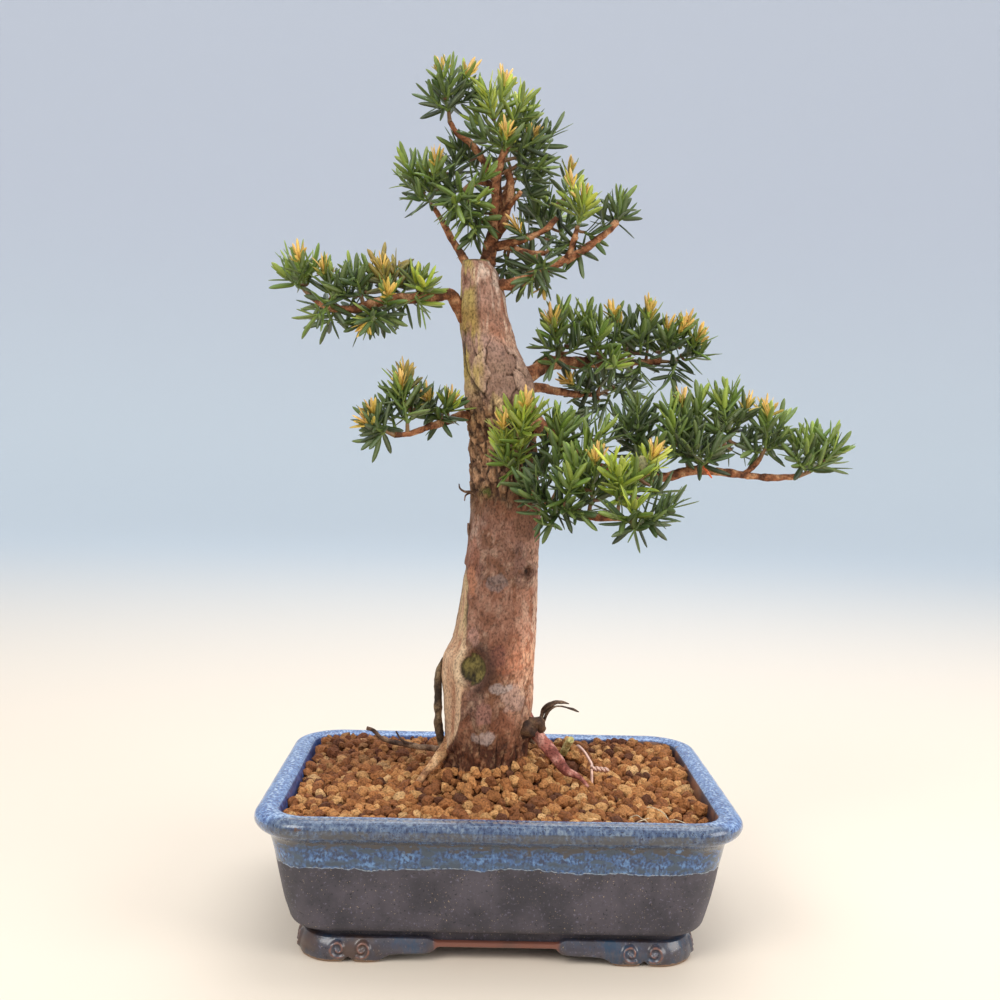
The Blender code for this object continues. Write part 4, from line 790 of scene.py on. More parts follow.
rough_bark = layered(
    two_tone((118, 88, 64), (164, 132, 102), ramp(scale_value, -0.5, 0.8)),
    ((78, 56, 42), 0.7 * ramp(-mottle, 0.0, 0.5)),
    ((192, 168, 140), 0.5 * ramp(fleck, 0.3, 0.8)))
tint = blended(tint, rough_bark, 0.9 * flaky)
red_zone = ramp(z + 5 * mottle, 218, 230) * (1 - ramp(z + 5 * mottle, 244, 252))
tint = blended(tint, paint(134, 80, 58), 0.6 * red_zone * ramp(x, -26, -6))
smooth_plate = layered(
    two_tone((132, 106, 102), (170, 144, 140), ramp(plate_value, -0.7, 0.7)),
    ((104, 78, 70), 0.4 * ramp(-mottle, 0.1, 0.6)))
tint = blended(tint, smooth_plate, 0.92 * plate)
dark_foot = two_tone((84, 52, 46), (138, 98, 88), ramp(mottle, -0.1, 0.6))
tint = blended(tint, dark_foot, 0.85 * foot)
tint = blended(tint, paint(190, 166, 156), 0.55 * foot * ramp(fleck, 0.3, 0.7))
top_wood = layered(
    two_tone((166, 130, 114), (214, 194, 180), ramp(streaks, -0.1, 0.6)),
    ((112, 74, 58), 0.8 * ramp(-patches + 0.4 * streaks, 0.2, 0.6)),
    ((150, 90, 62), 0.5 * ramp(patches, 0.3, 0.7) * (x > -14)))
tint = blended(tint, top_wood, bare_top)
olive = ramp(z, 300, 326) * (1 - ramp(x - line_at(z, OLIVE_EDGE), -3, 2)) * front
olive = olive * ramp(blotch + 0.4 * streaks, -0.7, 0.0)
bare_patch = 1 - ramp(((x + 6) / 5) ** 2 + ((z - 303) / 7.5) ** 2 + 0.5 * mottle, 0.6, 1.1)
tint = layered(tint, ((178, 160, 96), 0.85 * olive), ((196, 172, 138), 0.9 * bare_patch * (y < 0)))
# Bark colour scaled band by band up the trunk by the table's red, green and blue.
height_tint = np.stack([np.interp(z, BARK_SHADE[:, 0], BARK_SHADE[:, key]) for key in (1, 2, 3)], -1)
# Painted light: the right side of the trunk is made paler by the table's last column.
painted_right_light = ramp(off_middle, 3, 20) * np.interp(z, BARK_SHADE[:, 0], BARK_SHADE[:, 4])
tint = tint * height_tint * (1 + painted_right_light)[..., None]
strip = layered(
    two_tone((178, 142, 110), (198, 168, 136), ramp(grain, -0.3, 0.5)),
    ((146, 100, 72), 0.7 * ramp(-grain + 0.5 * mottle, 0.25, 0.7)),
    ((150, 132, 80), 0.5 * ramp(z, 158, 170) * ramp(grain, 0.0, 0.4)),
    ((168, 122, 96), 0.6 * np.clip(hollow, 0, 1) * (1 - ramp(z, 150, 172))))
tint = blended(tint, strip, deadwood)
for patch_x, patch_z, wide, high, colour in PATCHES:
    spread = ((x - patch_x) / wide) ** 2 + ((z - patch_z) / high) ** 2 + 0.55 * mottle
    cover = PATCH_COVER * (1 - ramp(spread, 0.6, 1.0)) * (y < 0)
    tint = blended(tint, paint(*colour) * PATCH_SHADE, cover)
callus = knot_rim * (1 - deadwood)
tint = layered(
    tint,
    ((40, 27, 22), 0.9 * crack),
    ((96, 66, 52), 0.55 * shed),
    # Painted shade in the sunken places of the bark relief.
    ((88, 58, 44), 0.6 * ramp(-relief, 1.0, 2.4) * live),
    ((62, 38, 28), 0.85 * callus * ramp(x, -20, -12)),
    ((200, 174, 142), 0.75 * knot_rim * (1 - ramp(x, -24, -18))),
    ((88, 58, 42), 0.6 * small_rim))
sawn = layered(
    two_tone((80, 70, 36), (112, 100, 54), ramp(mottle, -0.2, 0.5)),
    ((34, 27, 17), 0.85 * ramp(blotch * 0.8 + 0.5 * fleck + (149 - z) * 0.09, -0.05, 0.5)),
    ((40, 32, 24), 0.9 * ramp(knot_ring, 0.84, 0.96)))
tint = blended(tint, sawn, knot_face)
moss = np.exp(-(((x + 11.5) / 3.0) ** 2 + ((z - 252) / 2.6) ** 2)) * (y < 0)
tint = layered(
    tint,
    ((86, 56, 42), small_face),
    ((44, 30, 24), small_face * (1 - ramp(small_ring, 0.35, 0.6))),
    ((92, 96, 44), moss * ramp(fleck, -0.5, 0.1)))
sawn_top = two_tone((132, 126, 74), (84, 66, 46), ramp(mottle, 0.0, 0.6))
tint = blended(tint, sawn_top, ramp(z, 387.0, 387.6))


def wood_finish(name, bump_size, streak):
    """Bark or bare wood: the mesh's own tint, broken by fine noise, with pores and scales as bump."""
    finish, tone = new_finish(name, Specular_IOR_Level=0.3)
    fine = tone.spots(1.1, (1, 1, streak), 4.0)
    scales = tone.spots(3.0, (1, 1, streak), 5.0)
    shade = (fine.between(0.3, 0.6) * 0.62 + 0.54) + (scales - 0.5) * 0.9
    tone.mark("tint").times(shade).feed("Base Color")
    (0.9 - fine * 0.15).feed("Roughness")
    (fine * 0.7 + scales).bump(0.6, bump_size).feed("Normal")
    return finish


bark = wood_finish("yew_bark", 1.4, 1.5)
points, faces = capped_tube(trunk)
tints = tint.reshape(-1, 3)
add_piece("trunk_wood", points, faces, bark, ("trunk",),
          {"tint": np.concatenate([tints, tints[:1], tints[-1:]])})

# Branches. The live branches, orange brown and rough with old leaf scars, grow
# from the trunk with a thickened heel and thin out towards the green sprays.
BRANCHES = {
    "leader": (((-15, 0, 380), (-13, 0, 396), (-9, 2, 414), (-9, 4, 428), (-9, 5, 440), (-7, 5, 448)),
               5.6, 2.0),
    "leader_back": (((-9, 2, 412), (-6, 8, 424), (-3, 14, 434), (-2, 19, 441)), 3.2, 1.7),
    "leader_arch": (((-10, 4, 428), (-14, 0, 433), (-20, -6, 433), (-26, -13, 429)), 2.8, 1.6),
    "crown": (((-10, 5, 436), (-18, 1, 447), (-26, -3, 456), (-34, -5, 461), (-38, -4, 467)), 2.7, 1.6),
    "leader_front": (((-8, 2, 414), (-1, -7, 421), (4, -14, 426)), 2.2, 1.4),
    "left_top": (((-23, 0, 380), (-29, 1, 391), (-36, 4, 402), (-42, 7, 413), (-46, 9, 419)), 3.2, 1.6),
    "mid": (((-12, 0, 396), (-2, 6, 399), (8, 13, 405), (16, 20, 409), (22, 26, 414)), 2.9, 1.5),
    "mid_low": (((-3, 5, 398), (3, -5, 394), (9, -14, 390)), 2.1, 1.4),
    "leader_stem": (((-11, 0, 400), (-11, -3, 412), (-10.6, -6, 424), (-10.5, -8, 433), (-9, -10, 441),
                     (-7, -12, 447), (-4, -14, 454)), 3.2, 1.9),
    "leader_stub": (((-9, 0, 402), (-5.7, -1, 409), (-3.2, -3, 418), (-2, -3, 425), (-1.5, -3, 433),
                     (-4, -1, 441)), 3.0, 2.2),
    "mid_twig": (((-9, -1, 397), (0, -5, 399), (6.5, -8, 400), (13.3, -10, 402.4), (19, -12, 405.3),
                  (25.7, -14, 412)), 2.6, 1.5),
    "low_twig": (((-8, -1, 397), (0, -4, 396), (4.6, -7, 393.7), (12.4, -8, 392.3), (19.6, -9, 392.4)),
                 2.4, 1.4),
    "right_top": (((-12, 0, 370), (-7, -3, 373.5), (-1, -7, 374), (6, -9, 376), (14, -11, 380),
                   (20.6, -12, 383.5), (28, -12, 387), (34.4, -12, 390), (41.3, -11, 394.5),
                   (47.7, -10, 399.5), (54.7, -8, 405.2), (61, -6, 412)), 4.4, 1.8),
    "right_top_twig": (((32, -12, 389), (34.7, -13, 396), (36.4, -14, 402), (37, -14, 406)), 2.4, 1.5),
    "left_upper": (((-20, 0, 346), (-30, -3, 360), (-35, -6, 367), (-45, -11, 365), (-58, -16, 363),
                    (-70, -19, 362), (-82, -21, 358), (-94, -21, 355), (-106, -19, 357), (-115, -16, 362)),
                   5.0, 1.8),
    "left_lower": (((-16, 0, 293), (-26, -5, 297), (-35, -14, 293), (-46, -25, 289), (-56, -32, 285),
                    (-64, -37, 284)), 3.4, 1.5),
    "right_upper": (((4, 3, 316), (15, 7, 324), (22, 12, 329), (34, 19, 331), (50, 26, 332), (66, 31, 333),
                     (84, 36, 334), (96, 38, 335)), 6.2, 1.9),
    "right_back": (((8, 6, 312), (18, 13, 315), (30, 25, 314), (46, 42, 313), (60, 53, 314)), 3.6, 1.6),
    "right_long": (((6, 0, 304), (19, -8, 292), (34, -16, 279), (48, -20, 270), (70, -22, 265),
                    (92, -22, 264), (106, -20, 268), (122, -17, 268), (140, -14, 266), (158, -11, 265),
                    (172, -10, 266)), 5.6, 1.7),
    "right_long_fork": (((112, -19, 269), (120, -17, 277), (126, -16, 283)), 2.4, 1.6),
    "right_long_twig": (((138, -14, 266), (145, -13, 271), (149, -12, 276)), 2.0, 1.4),
    "front_low": (((4, -6, 258), (14, -20, 253), (28, -37, 247), (46, -51, 242), (62, -60, 242)), 5.0, 1.7),
}
TAPER = 0.6


def path_frames(path):
    """Directions along a path and two unit vectors square to it, carried from one fixed side."""
    along = np.gradient(path, axis=0)
    along /= np.linalg.norm(along, axis=1)[:, None]
    whole = path[-1] - path[0]
    pole = np.eye(3)[np.argmin(np.abs(whole))]
    first = pole - along * (along @ pole)[:, None]
    first /= np.linalg.norm(first, axis=1)[:, None]
    return along, first, np.cross(along, first)


def smooth_path(points, step):
    """A curve through the points, with a station about every step of its length."""
    points = np.array(points, float)
    spans = np.linalg.norm(np.diff(points, axis=0), axis=1)
    stations = np.concatenate([[0], np.cumsum(spans)])
    at = np.linspace(0, stations[-1], max(3, int(stations[-1] / step) + 1))
    return through(at, stations, points), at / stations[-1], stations / stations[-1]


def rough_tube(points, radii, sides, step, roughness, seed, flat=1.0):
    """Circles, or ovals this flat, along a path, each point moved out by noise; both ends are rounded off."""
    path, share, stations = smooth_path(points, step)
    if len(radii) == 2:
        radius = radii[0] + (radii[1] - radii[0]) * share ** TAPER
    else:
        radius = np.interp(share, stations, radii)
    _, first, second = path_frames(path)
    turn = np.linspace(0, TAU, sides, endpoint=False)
    circle = (first[:, None] * np.cos(turn)[None, :, None]
              + second[:, None] * flat * np.sin(turn)[None, :, None])
    rings = path[:, None] + circle * radius[:, None, None]
    coarse = lattice_noise(rings, 5.5, seed) + 0.7 * lattice_noise(rings, 2.1, seed + 1)
    radius = radius[:, None] * (1 + roughness * coarse)
    rings = path[:, None] + circle * radius[..., None]
    start, end = rings[0], rings[-1]
    tips = [path[0] + (start - path[0]) * 0.5, path[-1] + (end - path[-1]) * 0.6]
    return np.concatenate([tips[0][None], rings, tips[1][None]])


class Heap:
    """Closed bodies gathered into one mesh, with a colour at each point."""

    def __init__(self):
        self.points, self.faces, self.tints, self.count = [], {3: [], 4: []}, [], 0

    def add(self, points, faces, tints):
        for part in faces:
            self.faces[part.shape[1]].append(part + self.count)
        self.points.append(points)
        self.tints.append(np.broadcast_to(tints, points.shape))
        self.count += len(points)

    def piece(self, name, finish, slot, stands_for=(), smooth=True):
        faces = [np.concatenate(parts) for parts in self.faces.values() if parts]
        return add_piece(name, np.concatenate(self.points), faces, finish, stands_for,
                         {"tint": np.concatenate(self.tints)}, smooth)


def wood_tints(rings, deep, middle, light, seed):
    """Deep, middle and light wood by noise drawn along the branch."""
    broad = rough_noise(rings, 4.0, 3, seed)
    tints = blended(np.broadcast_to(middle, rings.shape), light, 0.8 * ramp(broad, 0.1, 0.6))
    tints = blended(tints, deep, 0.85 * ramp(-broad, 0.05, 0.5))
    tints = tints.reshape(-1, 3)
    return np.concatenate([tints, tints[:1], tints[-1:]])


branch_wood = Heap()
for number, (points, first, last) in enumerate(BRANCHES.values()):
    rings = rough_tube(points, (first, last), 22 if first > 3.5 else 14, 0.8, 0.2, 30 + number)
    tints = wood_tints(rings, paint(74, 44, 28), paint(136, 86, 56), paint(184, 138, 100), 50 + number)
    branch_wood.add(*capped_tube(rings), tints)
twig_bark = wood_finish("branch_bark", 1.2, 1.0)
branch_wood.piece("branches", twig_bark, "yew_wood", ("trunk",))

# Roots and dead wood. A pinkish live root and a tan dead one run into the soil,
# a curled dead root and thin rootlets lie at the foot, and strips and flakes of
# bark still cling to the trunk. A dead chip and a resting bud sit in the leaves.
ROOTS = {  # centre-line points, radii, sides, roughness, flatness, deep, middle and light colour
    "surface_root": (((12, 2, 121), (19.9, -4, 111.5), (27.6, -9, 102.5), (34.6, -14, 95), (40, -17, 89),
                      (47, -19, 86.5), (53, -21, 81)), (5.4, 4.2, 3.9, 3.6, 2.8, 1.5, 1.0), 18, 0.1, 1.0,
                     (104, 52, 44), (156, 92, 80), (206, 152, 136)),
    "root_collar": (((9, -14, 107), (16.5, -12, 112), (20.6, -9, 116.5), (24.6, -5, 111)),
                    (3.4, 4.8, 4.6, 3.4), 18, 0.5, 1.0, (40, 26, 20), (78, 54, 40), (122, 94, 66)),
    "deadwood_root": (((-26, -2, 106), (-34, -9, 95), (-41, -15, 88), (-50, -22, 77)),
                      (4.4, 3.4, 2.4, 1.6), 16, 0.14, 1.0, (140, 96, 66), (196, 152, 108), (216, 178, 136)),
    "curled_root": (((20, 6, 100), (25.2, 6, 112), (27.9, 6, 120.5), (33.2, 4, 124.6), (38, 1, 125.8),
                     (42, 0, 125.2)), (3.8, 2.6, 2.3, 1.9, 1.3, 0.5), 14, 0.36, 0.6,
                    (58, 42, 32), (116, 94, 76), (164, 142, 118)),
    "curled_root_fork": (((24, 6, 104), (27.5, 6, 113), (30, 5, 119.5), (34.5, 3, 122.8), (41, 0, 122.8),
                          (44.5, -1, 122), (48, -1, 120.6)), (3.0, 2.0, 1.6, 1.1, 1.2, 1.6, 0.5), 12, 0.36,
                         0.5, (58, 42, 32), (110, 88, 70), (158, 136, 110)),
    "dead_root": (((-24, 8, 93), (-42, 22, 90.5), (-62, 33, 90), (-74, 39, 92), (-80, 41, 96.5),
                   (-83, 42, 97)), (2.4, 1.7, 1.4, 1.2, 1.0, 1.3), 10, 0.3, 1.0,
                  (50, 34, 26), (96, 70, 54), (138, 112, 88)),
    "dead_root_fork": (((-50, 28, 90), (-60, 30, 93), (-64, 32, 98)), (1.3, 0.8, 0.5),
                       8, 0.25, 1.0, (50, 34, 26), (96, 70, 54), (138, 112, 88)),
    "bark_strip": (((-34.5, -2, 152), (-36.6, -2, 146), (-37.2, -2, 136), (-36.8, -3, 124), (-36.2, -3, 112),
                    (-34, -2, 101), (-31, -2, 92)), (0.8, 2.0, 2.9, 3.3, 3.2, 3.4, 3.0), 14, 0.24, 0.75,
                   (38, 28, 20), (84, 66, 48), (140, 118, 90)),
    "bark_flake": (((-17, -2, 250), (-20, -3, 251.6), (-24.5, -5, 252), (-27, -6, 254), (-27.5, -6, 256.5)),
                   (1.5, 1.1, 0.9, 0.8, 0.4), 8, 0.25, 0.7, (56, 38, 28), (104, 78, 60), (150, 120, 98)),
    "bark_flake_fork": (((-20, -3, 251.5), (-23.5, -5, 249.5), (-24, -6, 246.5)), (0.9, 0.7, 0.4), 8, 0.25,
                        0.7, (56, 38, 28), (104, 78, 60), (150, 120, 98)),
    "bark_flake_low": (((-19, 0, 222), (-21, -1, 228), (-21.5, -1, 233)), (1.8, 1.2, 0.7), 8, 0.3,
                       0.7, (60, 42, 34), (110, 84, 68), (150, 120, 98)),
    "root_stub": (((40, 10, 92), (42.6, 2, 101), (43.3, -5, 104.5)), (2.3, 2.2, 2.1), 12, 0.08, 1.0,
                  (120, 108, 62), (184, 174, 112), (212, 204, 150)),
    "dead_chip": (((112.6, -27, 271), (115.1, -28, 267.6), (117.6, -29, 264.3)), (0.8, 1.5, 0.6), 8, 0.1,
                  0.6, (186, 84, 44), (214, 104, 62), (232, 134, 88)),
    "resting_bud": (((72.2, -62, 266), (72.2, -62, 269), (72.2, -62, 272), (72.2, -62, 275),
                     (72.2, -62, 276.4)), (1.6, 3.2, 3.6, 2.3, 0.8), 14, 0.05, 1.0,
                    (84, 84, 56), (126, 124, 88), (158, 146, 104)),
}
ROOTLETS = 5

dead_wood = Heap()
for number, (points, radii, sides, rough, flat, deep, middle, light) in enumerate(ROOTS.values()):
    rings = rough_tube(points, radii, sides, 1.0, rough, 80 + number, flat)
    tints = wood_tints(rings, paint(*deep), paint(*middle), paint(*light), 90 + number)
    dead_wood.add(*capped_tube(rings), tints)
for number in range(ROOTLETS):
    start = np.array((rng.uniform(70, 98), rng.uniform(-74, -52), 0.0))
    heading = rng.uniform(0, TAU)
    path = [start]
    for step in range(4):
        heading += rng.uniform(-0.6, 0.6)
        path.append(path[-1] + 5.5 * np.array((math.cos(heading), math.sin(heading), 0)))
    path = np.array(path)
    path[:, 2] = soil_height(path[:, 0], path[:, 1]) + np.array((-0.5, 2.4, 2.8, 2.3, -0.5))
    rings = rough_tube(path, (0.32, 0.22), 6, 1.5, 0.1, 120 + number)
    dead_wood.add(*capped_tube(rings), paint(206, 190, 160))
root_bark = wood_finish("root_and_dead_wood", 0.7, 1.0)
dead_wood.piece("roots_and_dead_wood", root_bark, "yew_wood", ("trunk",))

# Tie wire. Soft anodised aluminium that holds the root ball: it comes up
# through the right drain hole, crosses the soil and is twisted over the root.
WIRE_RADIUS = 0.95
WIRE_LONG = ((60, 15, 12.6), (60, 5.5, 12.6), (60, 4, 16), (60, 4, 32), (50, 29, 70), (49.5, 30, 84),
             (50.5, 28, 92), (53, 22, 91.5), (56, 13, 88.5), (57.5, 5, 86))
WIRE_SHORT = ((60, -15, 12.6), (60, -5.5, 12.6), (60, -4, 16), (60, -4, 32), (57, -1, 80), (57, 0.5, 84))
TWIST = ((57, 2, 85.2), (67, 0, 85))
TWIST_TURNS = 2.0

wire = Heap()
share = np.linspace(0, 1, 17)[:, None]
line = np.array(TWIST[0]) + (np.array(TWIST[1]) - np.array(TWIST[0])) * share
for number, points in enumerate((WIRE_LONG, WIRE_SHORT)):
    turn = 0.5 + math.pi * number + TAU * TWIST_TURNS * share
    strand = line + np.concatenate([0 * turn, np.cos(turn), np.sin(turn)], 1) * WIRE_RADIUS * 0.95
    rings = rough_tube(np.concatenate([points, strand]), (WIRE_RADIUS, WIRE_RADIUS), 10, 0.9, 0.0, 0)
    wire.add(*capped_tube(rings), paint(214, 176, 158))
wire_metal, tone = new_finish("bronzed_aluminium", Metallic=0.6)
tone.mark("tint").times(tone.spots(4.0) * 0.5 + 0.75).feed("Base Color")
(tone.spots(1.5) * 0.25 + 0.28).feed("Roughness")
wire.piece("tie_wire_strands", wire_metal, "tie_wire", ("tie_wire",))

# Green sprays. Each is a forked shoot with flat needles set in a spiral: dark
# old ones low down, brighter ones towards the tip, leaning up and outwards. A
# needle has a faint rib, paler edges, a tapered point and a short stalk.
SPRAYS = {  # colour, fork near the wood, then the end of the stem of each shoot
    "crown_top_left": ("dark", (-39, -3, 474), ((-44, -8, 489), (-51, -18, 479), (-31, 13, 496))),
    "crown_top": ("lime", (-6, 4, 455), ((-16, -6, 481), (4, 15, 486), (-5, -13, 458))),
    "crown_right": ("dark", (2, 8, 451), ((19, 18, 468), (21, 0, 450))),
    "crown_left": ("bright", (-50, 9, 425), ((-47, 1, 441), (-63, 0, 439))),
    "crown_front": ("bright", (-30, -20, 424), ((-35, -32, 411), (-19, -35, 414))),
    "crown_back": ("dark", (0, 24, 446), ((10, 41, 452), (19, 28, 437), (-10, 42, 458))),
    "mid_right_upper": ("bright", (27, 30, 420), ((20, 30, 434), (32, 46, 426))),
    "mid_right_lower": ("lime", (38, -15, 408), ((34, -8, 433), (42, -26, 421))),
    "low_right_end": ("dark", (60, 0, 413), ((63, 6, 427), (68, -7, 417))),
    "under_crown": ("dark", (15, -21, 385), ((10, -32, 371), (20, -35, 379))),
    "left_end": ("bright", (-120, -14, 367), ((-124, -8, 382), (-131, -24, 375))),
    "left_outer": ("bright", (-102, -22, 361), ((-106, -16, 375), (-112, -35, 346))),
    "left_middle": ("dark", (-86, -21, 364), ((-88, -30, 374), (-82, 2, 369))),
    "left_inner": ("olive", (-70, -14, 367), ((-75, -16, 380), (-62, -1, 378))),
    "left_lime": ("lime", (-51, -19, 367), ((-48, -28, 370),)),
    "left_under": ("dark", (-77, -25, 356), ((-78, -41, 345),)),
    "lower_left_top": ("bright", (-57, -34, 291), ((-61, -38, 313), (-52, -20, 303))),
    "lower_left_inner": ("dark", (-40, -17, 298), ((-46, -11, 303), (-32, -25, 302))),
    "lower_left_end": ("dark", (-69, -40, 286), ((-79, -48, 290), (-72, -30, 298), (-78, -35, 281))),
    "right_upper_1": ("bright", (32, 17, 337), ((27, 8, 352), (41, 33, 352))),
    "right_upper_2": ("bright", (58, 28, 338), ((50, 18, 355), (63, 5, 331))),
    "right_upper_3": ("dark", (76, 34, 338), ((68, 33, 357), (89, 40, 362))),
    "right_upper_4": ("bright", (96, 38, 341), ((99, 53, 354), (108, 27, 354))),
    "right_upper_end": ("dark", (103, 39, 335), ((119, 36, 347), (107, 35, 323))),
    "right_back": ("dark", (66, 58, 317), ((79, 70, 329), (60, 82, 330))),
    "right_long_1": ("dark", (77, -21, 271), ((77, -15, 307),)),
    "right_long_2": ("bright", (104, -20, 275), ((91, -31, 299), (103, -14, 305), (113, -2, 305))),
    "right_long_3": ("dark", (112, -24, 271), ((116, -42, 280),)),
    "right_long_4": ("bright", (129, -15, 289), ((124, -20, 312), (140, -2, 306))),
    "right_long_5": ("bright", (152, -12, 282), ((152, -18, 303), (165, 10, 289))),
    "right_long_end": ("bright", (180, -9, 269), ((173, -15, 290), (189, 8, 290), (199, -8, 285))),
    "front_low_1": ("lime", (6, -21, 264), ((-6, -34, 286), (8, -46, 300))),
    "front_low_2": ("bright", (28, -34, 254), ((30, -30, 299), (49, -36, 285))),
    "front_low_3": ("dark", (28, -44, 246), ((12, -58, 262), (34, -72, 247), (22, -64, 236))),
    "front_low_4": ("bright", (46, -52, 249), ((33, -68, 276), (50, -52, 274))),
    "front_low_5": ("lime", (61, -57, 249), ((58, -80, 271), (79, -60, 277))),
    "front_low_end": ("dark", (68, -66, 240), ((67, -82, 236), (81, -76, 242))),
}
